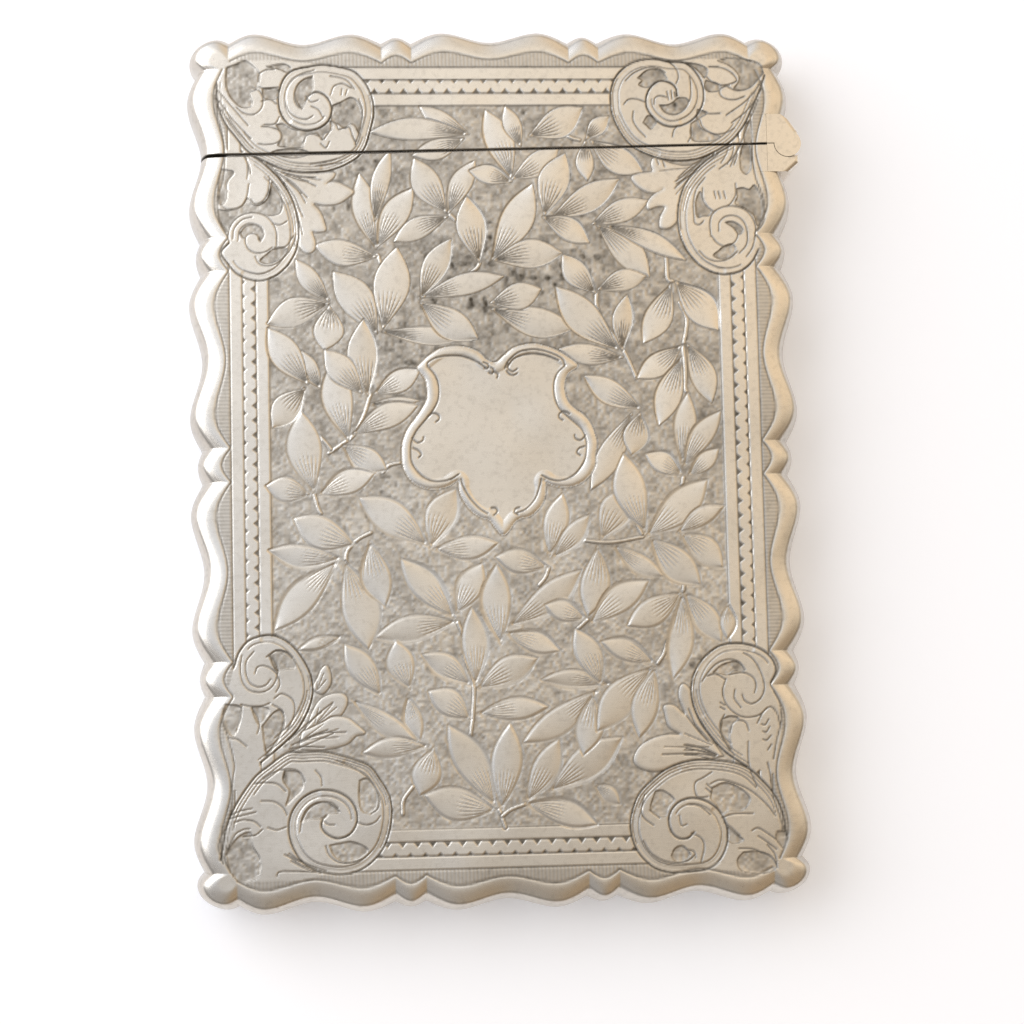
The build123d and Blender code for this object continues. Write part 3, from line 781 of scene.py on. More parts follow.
BOTTOM_RIGHT_SCROLL = CornerScroll(
    volutes=[
        Volute(
            line=path(
                31.2, -42.5, 30.8, -40, 30, -38, 28.5, -36.2, 27, -34.9, 25, -34.2, 22, -33.9, 20, -34.1,
                18, -34.8, 16.3, -36, 14.8, -37.5, 14, -39.3, 13.7, -41, 14, -42.8, 14.8, -44.3,
                16.2, -45.6, 18, -46.2, 20, -46.2, 22, -46, 23.3, -45.3, 24.2, -44, 24.6, -42.3,
                24.3, -40.8, 23.6, -39.5, 22.3, -38.5, 20.8, -38.1, 19.4, -38.4, 18.4, -39.3, 18, -40.5,
                18.3, -41.8, 19.1, -42.5, 20.1, -42.5, 20.8, -41.9,
            ),
            outer=18,
            closing=path(24, -46.2, 31.2, -46.2),
        ),
        Volute(
            line=path(
                27, -34.8, 24.5, -33, 22.8, -31, 21.6, -29, 21, -27, 21.1, -25, 21.9, -23.3, 23, -22.1,
                24.5, -21.2, 26.3, -21, 28, -21.3, 29.4, -22, 30.3, -23, 30.6, -24.2, 30, -25.5,
            ),
            outer=14,
            closing=path(31, -30, 31, -36),
        ),
    ],
    cuts=[
        path(15.1, -42.7, 15.8, -43.9, 17, -44.8, 18.5, -45.2, 20, -45, 20.8, -44.4),
        path(15.4, -37.6, 15, -39.3, 15.3, -40.2, 16.3, -41),
        path(15.9, -39.3, 17, -40.2),
        path(20.2, -38.8, 21.5, -39, 22.7, -40),
        path(20.5, -42, 21.5, -42.5, 21.9, -43.5, 21.5, -45.2),
        path(20, -43.8, 20.7, -44, 20.9, -44.7),
        path(19.2, -40, 19.4, -41.1, 20, -41),
        path(22.5, -38, 21.3, -38, 21, -37, 21.2, -36.3, 22, -35.9, 23, -35.3),
        path(22.8, -36.6, 23.8, -36.2, 25, -36.4, 26.7, -37.1, 28, -38, 29.2, -39.2, 30, -40.3),
        path(24, -40.4, 25.2, -40, 27.5, -40),
        path(24.3, -41, 25, -41.5, 25.9, -42.4),
        path(27.3, -41.9, 28, -41.6, 29, -42.2, 30.3, -43.2, 30.7, -43.9),
        path(28, -42.5, 29, -43.2, 30, -44),
        path(29, -43.5, 29.8, -44.6, 30, -46),
        path(25.8, -43.8, 27.3, -43.9, 28.4, -44.4),
        path(22.2, -25.2, 23, -24.1, 24, -23.2, 25.3, -22.8, 26.4, -23.1, 27.1, -24),
        path(22.8, -24.6, 23.8, -24.4, 24.8, -25),
        path(24.9, -25, 24.5, -26.3, 24.8, -27.7, 25.8, -28.8, 27, -29.3, 28.5, -29.1, 29.5, -28.3),
        path(25.3, -24.5, 26.8, -24.3, 27.9, -24.8, 28.3, -25.7, 28.1, -26.6),
        path(25.9, -26.2, 25.8, -27.2, 26.5, -28.2),
        path(
            26.7, -26.8, 27, -27.5, 27.8, -27.8, 28.7, -27.3, 29.2, -26.3, 29.1, -25, 28.5, -23.5,
            27.8, -22.6, 27, -22.1,
        ),
        path(24.6, -29, 24.1, -30, 24.2, -31.2, 24.8, -32.4, 25.6, -33.5),
        path(25.2, -31, 25.5, -30, 26.2, -29.6, 27, -29.9, 27.3, -30.8),
        path(28.3, -30, 29, -28.8, 29.9, -28.2, 30.6, -29, 30.9, -30.3),
        path(30.3, -26.5, 31, -28, 31, -29.8, 30.4, -32, 30, -34),
        path(23.5, -33.3, 22, -32.6, 20.2, -32.2),
        path(23.4, -33.6, 22, -33.3, 20.2, -33.2),
        path(23.2, -33.4, 21.6, -32.9, 20.2, -32.6),
        path(22.8, -33.8, 21.4, -33.4, 20, -33.3),
        path(22.6, -31.8, 21.4, -30.4, 20.4, -29),
        path(24.2, -27.6, 24.7, -27.9),
        path(24.2, -28.1, 24.7, -28.4),
        path(29.6, -29.6, 29.2, -30.2, 28.8, -30.1),
        path(29.7, -30.4, 29.3, -31, 28.9, -30.9),
        path(29.8, -31.4, 29.3, -31.9, 28.9, -31.8),
        path(29.8, -32.4, 29.4, -33),
        path(22.4, -36.6, 23, -37.2),
        path(22.3, -37.1, 22.9, -37.6),
        path(31, -42, 30.4, -40, 29.8, -38, 29.6, -36, 29.3, -34.4),
        path(28, -37, 27.2, -34.6, 27.2, -32),
        path(23.6, -33.4, 21.8, -32.6, 20, -32.2),
        path(23.6, -33.4, 21.8, -32.9, 20, -32.8),
        path(23.6, -33.5, 20.8, -33.2, 17.5, -33.2),
        path(22.8, -31.9, 21.4, -30.2, 20.6, -28.2),
    ],
    pits=[
        path(
            23.5, -24.2, 24.5, -23.4, 26, -23, 26.8, -23.5, 26.9, -24.2, 25.8, -24.1, 25, -24.5,
            24.2, -24.3,
        ),
        path(
            24.4, -29.4, 25.3, -29.1, 26.2, -29.4, 25.3, -30.2, 25.1, -31.5, 25.3, -32.8, 24.6, -31.8,
            24.2, -30.6,
        ),
        path(
            23, -37, 24.3, -36.5, 25.5, -36.8, 26.7, -37.6, 27.2, -38.5, 26.3, -39.6, 24.8, -39.6,
            23.9, -40, 23.4, -38.9, 22.8, -38.2,
        ),
        path(24.6, -41.4, 25.5, -42.2, 26.3, -42.9, 25.2, -43.2, 24.5, -42.7),
        path(26.3, -44.2, 28, -44.2, 29.4, -44.8, 29.9, -46, 28.5, -46.6, 26, -46.2, 25.6, -45),
        path(18.2, -44.4, 18.6, -43.6, 19.4, -43.3, 20, -43.8, 20.3, -44.4, 19.6, -45, 18.6, -45),
        path(16.6, -37.2, 17.5, -37.2, 18.7, -38.2, 18.1, -39, 17.7, -40, 16.5, -39.8, 16, -39),
        path(30.2, -42, 31.2, -42.2, 30.8, -43.8, 30, -42.8),
    ],
    lobes=[
        path(
            24.3, -33.5, 22, -34, 19.5, -34.4, 16.8, -35, 15, -34.6, 14.3, -33.7, 15, -32.3, 16.5, -31.4,
            18.2, -31, 19.6, -31, 18.4, -30.2, 18, -29, 17.9, -27.8, 19, -27.8, 20.2, -28.8, 19.6, -27,
            19.7, -25.8, 20.2, -25.4, 20.9, -26.3, 21.1, -28, 21.8, -29.8, 23, -31.6,
        ),
    ],
)


# Dirt and painted shade run from 0, bare metal, to 1, black.
RUBBED = 0.04
GROUND_DIRT = 0.42
# Grains of the noise, in millimetres: punch marks, clouds of dirt, dents in the sheet, small and wide stains.
NOISE_SEED = 5
PUNCH_GRAIN = 0.34
CLOUD_GRAIN = 0.95
DENT_GRAIN = 5.0
STAIN_GRAINS = (0.8, 9.0)


@dataclass(frozen=True)
class LeafShape:
    """How the leaves of the field are cut, in millimetres and in shares of a leaf.

    Attributes:
        fullness: half width over the width given for a leaf.
        skew: power of the length; above 1 it moves the widest place towards the tip.
        sharpness: power of the width; above 1 it would hollow the tip.
        bow: how far the midline bows, in lengths.
        lean: how far one edge stands below the other.
        crown: fall from the midline to the edges.
        trench: where the cut round a leaf starts and ends outside its edge.
        change: heights on the case between which the wide bevel turns into a narrow cut, and the painted
            shade in the cut and strokes deepens.
        strokes: where the strokes run, in half widths.
        stroke_depth: depth of a stroke.
        longest: longest stroke.
    """

    fullness: float = 0.56
    skew: float = 1.18
    sharpness: float = 0.95
    bow: float = 0.045
    lean: float = 0.05
    crown: float = 0.035
    trench: tuple[float, float] = (-0.22, -0.09)
    change: tuple[float, float] = (-14.0, 12.0)
    strokes: tuple[float, ...] = (-0.7, -0.4, -0.13, 0.13, 0.4, 0.7)
    stroke_depth: float = 0.03
    longest: float = 4.8


@dataclass
class Relief:
    """Height, tarnish with painted shade, and matting of one engraved face on a fine square grid.

    Attributes:
        half_x: half width of the grid.
        half_y: half height of the grid.
        pitch: grid step.
        ground_depth: how far the matted ground lies below the polished face.
        edge_reach: how far round an edge the relief changes.
        edge_soft: half the width of an edge's slope.
        edge_round: width of the worn edge of a plate.
        leaf_shape: how the leaves are cut.
    """

    half_x: float = 34.0
    half_y: float = 49.6
    pitch: float = 0.08
    ground_depth: float = 0.06
    edge_reach: float = 0.5
    edge_soft: float = 0.07
    edge_round: float = 0.4
    leaf_shape: LeafShape = LeafShape()
    x: np.ndarray = field(init=False)
    y: np.ndarray = field(init=False)
    height: np.ndarray = field(init=False)
    dirt_and_shade: np.ndarray = field(init=False)
    matting: np.ndarray = field(init=False)

    def __post_init__(self) -> None:
        """Makes the empty grid."""
        columns = np.arange(-self.half_x, self.half_x + self.pitch, self.pitch)
        rows = np.arange(-self.half_y, self.half_y + self.pitch, self.pitch)
        self.x, self.y = np.meshgrid(columns, rows)
        self.height = np.zeros(self.x.shape)
        self.dirt_and_shade = np.zeros(self.x.shape)
        self.matting = np.zeros(self.x.shape)

    def window(self, points: np.ndarray, reach: float) -> Window:
        """The part of the grid within reach of some points.

        Args:
            points: the points.
            reach: the margin round them.

        Returns:
            The slices of rows and columns.
        """
        low = (points.min(axis=0) - reach + (self.half_x, self.half_y)) / self.pitch
        high = (points.max(axis=0) + reach + (self.half_x, self.half_y)) / self.pitch
        first = np.clip(np.floor(low).astype(int), 0, None)
        last = np.clip(np.ceil(high).astype(int) + 1, 1, None)
        return slice(first[1], last[1]), slice(first[0], last[0])

    def distance(self, line: np.ndarray, reach: float) -> tuple[Window, np.ndarray]:
        """Distance from a line, out to reach: the least distance to any of its straight steps.

        Args:
            line: points of the line.
            reach: the greatest distance told apart.

        Returns:
            The window of the grid and the distances in it.
        """
        area = self.window(line, reach)
        away = np.full(self.x[area].shape, reach)
        top, left = area[0].start, area[1].start
        for start, end in zip(line[:-1], line[1:]):
            rows, columns = self.window(np.array([start, end]), reach)
            near_x, near_y = self.x[rows, columns] - start[0], self.y[rows, columns] - start[1]
            step = end - start
            share = np.clip((near_x * step[0] + near_y * step[1]) / max(step @ step, LEAST_STEP**2), 0, 1)
            gap = np.hypot(near_x - share * step[0], near_y - share * step[1])
            local = (
                slice(rows.start - top, rows.stop - top),
                slice(columns.start - left, columns.stop - left),
            )
            away[local] = np.minimum(away[local], gap)
        return area, away

    def inside(self, area: Window, outline: np.ndarray) -> np.ndarray:
        """True where the grid lies inside a closed outline: an odd number of its edges lie to the right.

        Args:
            area: the window of the grid.
            outline: the corners, in order.

        Returns:
            The mask for the window.
        """
        x, y = self.x[area], self.y[area]
        odd = np.zeros(x.shape, bool)
        for (x0, y0), (x1, y1) in zip(outline, np.roll(outline, -1, axis=0)):
            if y0 != y1:
                odd ^= ((y0 > y) != (y1 > y)) & (x < (x1 - x0) * (y - y0) / (y1 - y0) + x0)
        return odd

    def lay(
        self,
        area: Window,
        share: np.ndarray,
        height: float | np.ndarray,
        dirt_and_shade: float | np.ndarray,
        matting: float = 0.0,
    ) -> None:
        """Lays a new surface over the old one where share is 1.

        Args:
            area: the window of the grid.
            share: how much of the new surface shows.
            height: its height.
            dirt_and_shade: its tarnish and painted shade.
            matting: how far it is matted.
        """
        for layer, value in ((self.height, height), (self.dirt_and_shade, dirt_and_shade), (self.matting, matting)):
            layer[area] += share * (value - layer[area])

    def cut(
        self, points: Path | np.ndarray, width: float = 0.17, depth: float = 0.035, dirt_and_shade: float = 0.75
    ) -> None:
        """Engraves a line: a groove with a flat floor a fifth of its width to each side, and soft walls.

        Args:
            points: points of the line.
            width: width of the groove.
            depth: depth of the groove.
            dirt_and_shade: how dark the groove has gone.
        """
        area, away = self.distance(flow(points), width)
        share = 1 - smooth_step(0.2 * width, 0.75 * width, away)
        self.height[area] -= depth * share
        self.dirt_and_shade[area] = np.maximum(self.dirt_and_shade[area], dirt_and_shade * share)
        self.matting[area] *= 1 - share

    def plate(self, outline: Path) -> None:
        """Fills an outline with bare polished plate, with no edge of its own."""
        corners = np.array(outline)
        area = self.window(corners, 2 * self.edge_soft)
        self.lay(area, self.inside(area, corners).astype(float), 0.0, RUBBED)

    def island(self, outline: Path, ground: bool = False) -> None:
        """Fills an outline with a polished plate, or with matted ground, inside a cut edge. A plate has a
        dark trench outside its edge and is worn round inside it; ground has a dark line on its edge.

        Args:
            outline: points of the edge.
            ground: True for matted ground.
        """
        closed = flow([*outline, outline[0]])
        area, away = self.distance(closed, self.edge_reach)
        signed = np.where(self.inside(area, closed), away, -away)
        share = smooth_step(-self.edge_soft, self.edge_soft, signed)
        if ground:
            self.lay(area, share, -self.ground_depth, GROUND_DIRT, 1.0)
            line = 0.7 * (1 - smooth_step(0.05, 0.13, np.abs(signed)))
            self.dirt_and_shade[area] = np.maximum(self.dirt_and_shade[area], line)
        else:
            trench = smooth_step(-0.2, -0.08, signed)
            self.lay(area, trench, -self.ground_depth - 0.01, 0.75)
            self.lay(area, share, -0.02 * (1 - smooth_step(0.0, self.edge_round, signed)), RUBBED)

    def leaf(self, root_x: float, root_y: float, tip_x: float, tip_y: float, width: float) -> None:
        """A pointed leaf: its half width is a sine of a power of the way along it, and it bows a little.
        Its top is crowned and leans to one side, and strokes fan out from its root. The cut round it is
        narrow near the lid, and a wide bevel that catches the lamp near the foot. The tarnish in the cut and
        strokes carries painted shade, darker near the lid and paler near the foot.

        Args:
            root_x: root.
            root_y: root.
            tip_x: tip.
            tip_y: tip.
            width: greatest width.
        """
        shape = self.leaf_shape
        root, tip = np.array([root_x, root_y]), np.array([tip_x, tip_y])
        length = np.linalg.norm(tip - root)
        along = (tip - root) / length
        area = self.window(np.array([root, tip]), width / 2 + self.edge_reach)
        x, y = self.x[area] - root[0], self.y[area] - root[1]
        u, v = (x * along[0] + y * along[1]) / length, y * along[0] - x * along[1]
        share = np.clip(u, 0, 1)
        v = v - shape.bow * length * math.sin(5.0 * root_x + 3.0 * tip_y) * np.sin(np.pi * share)
        half = shape.fullness * width * np.sin(np.pi * share**shape.skew) ** shape.sharpness
        beyond = np.abs(u - share) * length
        signed = np.where(beyond > 0, -np.hypot(beyond, v), half - np.abs(v))
        across = np.clip(v / np.maximum(half, 0.1), -1, 1)
        tilt = shape.lean * math.sin(9.0 * root_x + 7.0 * tip_y)
        upper = smooth_step(*shape.change, root_y)
        # Tarnish in the cut and strokes plus painted shade: they are painted darker towards the lid and paler
        # towards the foot.
        cut_dirt_and_shade = 0.32 + 0.4 * upper
        self.lay(area, smooth_step(*shape.trench, signed), -self.ground_depth - 0.02, cut_dirt_and_shade)
        bevel = smooth_step(-0.08, 0.3 - 0.26 * upper, signed)
        self.lay(area, bevel, tilt * across - abs(tilt) - shape.crown * across**2, 0.03)
        out = u * length
        reach = min(shape.longest, 0.6 * length)
        for place in shape.strokes:
            away = np.abs(v - place * half) + 0.05 * smooth_step(0.5, 1.0, out / reach)
            shown = (1 - smooth_step(0.03, 0.1, away)) * smooth_step(0.2, 0.5, out)
            shown *= 1 - smooth_step((0.9 - 0.4 * abs(place)) * reach, reach, out)
            self.height[area] -= shape.stroke_depth * shown
            self.dirt_and_shade[area] = np.maximum(self.dirt_and_shade[area], cut_dirt_and_shade * shown)

    def stem(self, points: Path) -> None:
        """A thin raised stem, with a dark cut on each side.

        Args:
            points: points of its midline.
        """
        area, away = self.distance(flow(points), 0.5)
        self.lay(area, 1 - smooth_step(0.22, 0.34, away), -self.ground_depth, 0.7)
        self.lay(area, 1 - smooth_step(0.1, 0.2, away), 0.0, RUBBED)


class GroundNoise:
    """Random values on square lattices, blended between lattice points; the same on every run."""

    def __init__(self, seed: int) -> None:
        """Keeps the seeded generator."""
        self.random = np.random.default_rng(seed)

    def at(self, x: np.ndarray, y: np.ndarray, size: float) -> np.ndarray:
        """Noise of one grain size.

        Args:
            x: places.
            y: places.
            size: grain, in millimetres.

        Returns:
            Values from 0 to 1.
        """
        u, v = (x - x.min()) / size, (y - y.min()) / size
        lattice = self.random.random((int(v.max()) + 2, int(u.max()) + 2))
        i, j = v.astype(int), u.astype(int)
        s, t = smooth_step(0, 1, u - j), smooth_step(0, 1, v - i)
        return mix_four(lattice, i, j, s, t)


@dataclass
class Engraving:
    """The whole ornament of a face.

    Attributes:
        outline: the edge the scalloped line follows.
        frame_lines: insets of the four frame lines from the edge of the face.
        bead_pitch: step of the row of little wedges.
        field_inset: inset of the leafy field.
        hatch_pitch: step of the fine hatching beside the scalloped line.
        scallop_inset: how far inside the arris the scalloped line keeps at a notch.
        scallop_swell: how much more it keeps at a crest, over the height of the crest.
        field_stretch: how much the frame is wider on the ends than on the sides.
        moulding: width of the shield's border.
        moulding_rise: height of the border above the shield.
        ribbon_lines: lines along a ribbon: way inside its edge, start and end as shares of it, width.
        scoop_offset: how far inside a ribbon's edge its scooped middle runs.
        scoop_half: half the width of the scoop.
        scoop_depth: depth of the scoop.
        unevenness: how far the sheet wanders up and down.
        punch: height of the punch marks in the ground.
        stain: how dark the stains of the ground are.
        pale: painted light on the lower ground: how much paler it is painted, and between which heights that
            fades.
    """

    outline: Outline
    frame_lines: tuple[float, ...] = (0.0, 1.5, 3.05, 4.5)
    bead_pitch: float = 1.65
    field_inset: float = 4.5
    hatch_pitch: float = 0.42
    scallop_inset: float = 1.42
    scallop_swell: float = 0.22
    field_stretch: float = 4.5 / 4.35
    moulding: float = 1.2
    moulding_rise: float = 0.07
    ribbon_lines: tuple[tuple[float, float, float, float], ...] = (
        (1.15, 0.12, 0.9, 0.17),
        (0.38, 0.0, 0.5, 0.13),
        (0.76, 0.05, 0.42, 0.13),
    )
    scoop_offset: float = 0.6
    scoop_half: float = 0.45
    scoop_depth: float = 0.05
    unevenness: float = 0.09
    punch: float = 0.034
    stain: float = 0.3
    pale: tuple[float, float, float] = (0.16, -18.0, 12.0)
    relief: Relief = field(init=False)

    def __post_init__(self) -> None:
        """Cuts everything in the order it overlaps."""
        self.relief = Relief()
        self._hatching()
        self._frame()
        self._leaves()
        for scroll in (TOP_LEFT_SCROLL, TOP_RIGHT_SCROLL, BOTTOM_LEFT_SCROLL, BOTTOM_RIGHT_SCROLL):
            self._scroll(scroll)
        self._scalloped_line()
        self._shield()
        self._mat_ground()

    def _inset(self) -> tuple[np.ndarray, np.ndarray]:
        """Distance inside the edge of the straight-sided face, stretched a little along the sides.

        Returns:
            The distance, and where the nearer edge is an end.
        """
        from_side = (self.outline.face_x - np.abs(self.relief.x)) * self.field_stretch
        from_end = self.outline.face_y - np.abs(self.relief.y)
        return np.minimum(from_side, from_end), from_end < from_side

    def _whole(self) -> Window:
        """A window that takes in the whole grid."""
        return slice(None), slice(None)

    def _scallops(self) -> tuple[np.ndarray, np.ndarray]:
        """The scalloped line inside the edge: it keeps a set way inside the arris at a notch, and a fifth
        of the bulge more at a crest.

        Returns:
            The line, and where it is clear of the corners.
        """
        arris = self.outline.arris
        out_x, out_y = np.abs(arris[:, 0]), np.abs(arris[:, 1])
        on_side = out_y < SIDE_STOP_Y
        bulge = np.where(on_side, out_x - SIDE_NOTCH_X, out_y - END_NOTCH_Y)
        inset = (self.scallop_inset + self.scallop_swell * np.clip(bulge, 0, None))[:, None]
        line = arris - np.sign(arris) * np.stack([on_side, ~on_side], axis=1) * inset
        return line, (out_x < END_STOP_X) | on_side

    def _hatching(self) -> None:
        """Fine strokes square to the edge in the lens between the scalloped line and the frame."""
        relief = self.relief
        line, clear = self._scallops()
        lens = relief.inside(self._whole(), line[clear]) & (self._inset()[0] < 0.0)
        across = np.where(np.abs(relief.y) > self.outline.face_y, relief.x, relief.y)
        wave = 0.5 + 0.5 * np.cos(2 * np.pi * across / self.hatch_pitch)
        strokes = lens * smooth_step(0.2, 0.9, wave)
        relief.height -= 0.012 * strokes
        relief.dirt_and_shade = np.maximum(relief.dirt_and_shade, 0.24 * lens + 0.14 * strokes)

    def _scalloped_line(self) -> None:
        """Cuts the scalloped line, broken at the corners where the scrollwork takes over."""
        line, clear = self._scallops()
        for piece in np.split(np.arange(len(line)), np.flatnonzero(~clear)):
            kept = line[piece[clear[piece]]]
            if len(kept) > 8:
                self.relief.cut(kept[::3], width=0.2, depth=0.04, dirt_and_shade=0.7)

    def _frame(self) -> None:
        """The frame: straight cut lines, and a band of little dark wedges standing on its inner line with
        smaller ones hanging between them from its outer line."""
        relief = self.relief
        inset, on_end = self._inset()
        along = np.where(on_end, relief.x, relief.y)
        for place in self.frame_lines:
            share = 1 - smooth_step(0.04, 0.13, np.abs(inset - place))
            relief.height -= 0.04 * share
            relief.dirt_and_shade = np.maximum(relief.dirt_and_shade, 0.7 * share)
        phase = np.mod(along / self.bead_pitch, 1.0)
        standing = 0.5 - np.abs(phase - 0.5)
        rise = self.frame_lines[2] - inset
        wedge = smooth_step(-0.05, 0.08, 0.45 - standing * self.bead_pitch - 0.75 * rise)
        hang = inset - self.frame_lines[1]
        drop = smooth_step(-0.05, 0.08, 0.36 - (0.5 - standing) * self.bead_pitch - 0.9 * hang)
        marks = np.maximum(wedge, drop) * (rise > 0) * (hang > 0)
        relief.height -= 0.05 * marks
        relief.dirt_and_shade = np.maximum(relief.dirt_and_shade, 0.8 * marks)
        share = smooth_step(self.field_inset, self.field_inset + 0.15, inset)
        relief.lay(self._whole(), share, -relief.ground_depth, GROUND_DIRT, 1.0)

    def _leaves(self) -> None:
        """Stems first and leaves over them, in order."""
        for points in STEMS:
            self.relief.stem(points)
        for leaf in LEAVES:
            self.relief.leaf(*leaf)

    def _scroll(self, scroll: CornerScroll) -> None:
        """Lobes with strokes from their roots, then the plates of the two branches, the pits and lines cut
        into them, and the rolled ribbon of each branch.

        Args:
            scroll: the scrollwork of one corner.
        """
        relief = self.relief
        for lobe in scroll.lobes:
            relief.island(lobe)
            edge = np.array(lobe, float)
            root = (edge[0] + edge[-1]) / 2
            for share in (0.3, 0.5, 0.7):
                aim = edge[int(share * (len(edge) - 1))]
                relief.cut([root + 0.1 * (aim - root), root + 0.68 * (aim - root)], width=0.13, dirt_and_shade=0.6)
        for volute in reversed(scroll.volutes):
            relief.plate([*volute.line[: volute.outer], *volute.closing])
        for pit in scroll.pits:
            relief.island(pit, ground=True)
        for cut in scroll.cuts:
            relief.cut(cut)
        for volute in scroll.volutes:
            self._ribbon(volute)

    def _ribbon(self, volute: Volute) -> None:
        """The rolled ribbon: its cut edge, its inner edge and two finer strokes, which narrow to half their
        distance at the eye, and a scooped middle round the roll.

        Args:
            volute: the branch it belongs to.
        """
        relief = self.relief
        edge = flow(volute.line)
        step = np.gradient(edge, axis=0)
        step /= np.linalg.norm(step, axis=1, keepdims=True)
        turning = np.sum(step[:-1, 0] * step[1:, 1] - step[:-1, 1] * step[1:, 0])
        inward = np.stack([-step[:, 1], step[:, 0]], axis=1) * np.sign(turning)
        share = np.linspace(0, 1, len(edge))[:, None]
        for offset, start, end, width in self.ribbon_lines:
            line = edge + inward * offset * (1 - 0.5 * share)
            kept = slice(int(start * len(edge)), int(end * len(edge)))
            relief.cut(line[kept][::2], width=width, dirt_and_shade=0.6)
        middle = edge + inward * self.scoop_offset * (1 - 0.5 * share)
        rolled = slice(int(0.3 * len(edge)), int(0.8 * len(edge)), 2)
        area, away = relief.distance(middle[rolled], self.scoop_offset)
        relief.height[area] -= self.scoop_depth * np.clip(1 - (away / self.scoop_half) ** 2, 0, 1)
        relief.cut(volute.line, width=0.24, depth=0.05, dirt_and_shade=0.9)

    def _shield(self) -> None:
        """The blank shield and its border, a rounded moulding with small curls."""
        self.relief.island(SHIELD_EDGE)
        edge = flow([*SHIELD_EDGE, SHIELD_EDGE[0]])
        area, away = self.relief.distance(edge, self.moulding)
        hollow = np.clip(2 * away / self.moulding - 1, -1, 1) ** 2
        self.relief.height[area] -= self.moulding_rise * hollow * self.relief.inside(area, edge)
        for line in SHIELD_LINES:
            self.relief.cut(line, width=0.2, depth=0.045, dirt_and_shade=0.8)

    def _mat_ground(self) -> None:
        """Punches the ground: fine noise in height and dirt wherever it is matted, and stains here and
        there. The whole sheet is uneven over a few millimetres."""
        relief = self.relief
        noise = GroundNoise(NOISE_SEED)
        punch = noise.at(relief.x, relief.y, PUNCH_GRAIN)
        cloud = noise.at(relief.x, relief.y, CLOUD_GRAIN)
        relief.height += relief.matting * self.punch * (punch - 0.5)
        relief.height -= self.unevenness * noise.at(relief.x, relief.y, DENT_GRAIN)
        # Painted light: the matted ground is painted paler towards the foot of the case, fading out between
        # the given heights.
        less, foot, top = self.pale
        relief.dirt_and_shade -= less * relief.matting * (1 - smooth_step(foot, top, relief.y))
        relief.dirt_and_shade += relief.matting * (0.3 * (0.5 - punch) + 0.34 * (cloud - 0.5))
        small, wide = STAIN_GRAINS
        stains = noise.at(relief.x, relief.y, small) * noise.at(relief.x, relief.y, wide)
        relief.dirt_and_shade += self.stain * relief.matting * smooth_step(0.58, 0.8, stains)
        relief.dirt_and_shade = np.clip(relief.dirt_and_shade, 0, 1)

    def read(self, x: np.ndarray, y: np.ndarray) -> tuple[np.ndarray, np.ndarray, np.ndarray]:
        """Height, tarnish with painted shade, and surface normal at any places, blended between grid points.

        Args:
            x: places.
            y: places.

        Returns:
            Height, tarnish with painted shade, and unit normals with one more axis.
        """
        relief = self.relief
        column = np.clip((x + relief.half_x) / relief.pitch, 0, relief.x.shape[1] - 1.001)
        row = np.clip((y + relief.half_y) / relief.pitch, 0, relief.x.shape[0] - 1.001)
        i, j = row.astype(int), column.astype(int)
        layers = (relief.height, relief.dirt_and_shade, *np.gradient(relief.height, relief.pitch))
        height, dirt_and_shade, slope_y, slope_x = (mix_four(layer, i, j, column - j, row - i) for layer in layers)
        normal = np.stack([-slope_x, -slope_y, np.ones(x.shape)], axis=-1)
        return height, dirt_and_shade, normal / np.linalg.norm(normal, axis=-1, keepdims=True)


# ----------------------------------------------------------
# Finishes
# ----------------------------------------------------------


def colour(hex_code: str) -> tuple[float, float, float, float]:
    """An sRGB hex colour as linear light.

    Args:
        hex_code: six hex digits.

    Returns:
        Linear red, green, blue and 1.
    """
    parts = [int(hex_code[i : i + 2], 16) / 255 for i in (0, 2, 4)]
    red, green, blue = (p / 12.92 if p <= 0.04045 else ((p + 0.055) / 1.055) ** 2.4 for p in parts)
    return red, green, blue, 1.0


def add_node(
    tree: bpy.types.NodeTree, kind: str, links: dict | None = None, **settings: object
) -> bpy.types.Node:
    """Adds one node.

    Args:
        tree: the node tree.
        kind: the node's type.
        links: input name or number to a socket or a plain value.
        settings: properties of the node.

    Returns:
        The node.
    """
    node = tree.nodes.new(kind)
    for name, value in settings.items():
        setattr(node, name, value)
    for name, value in (links or {}).items():
        if isinstance(value, bpy.types.NodeSocket):
            tree.links.new(value, node.inputs[name])
        else:
            node.inputs[name].default_value = value
    return node


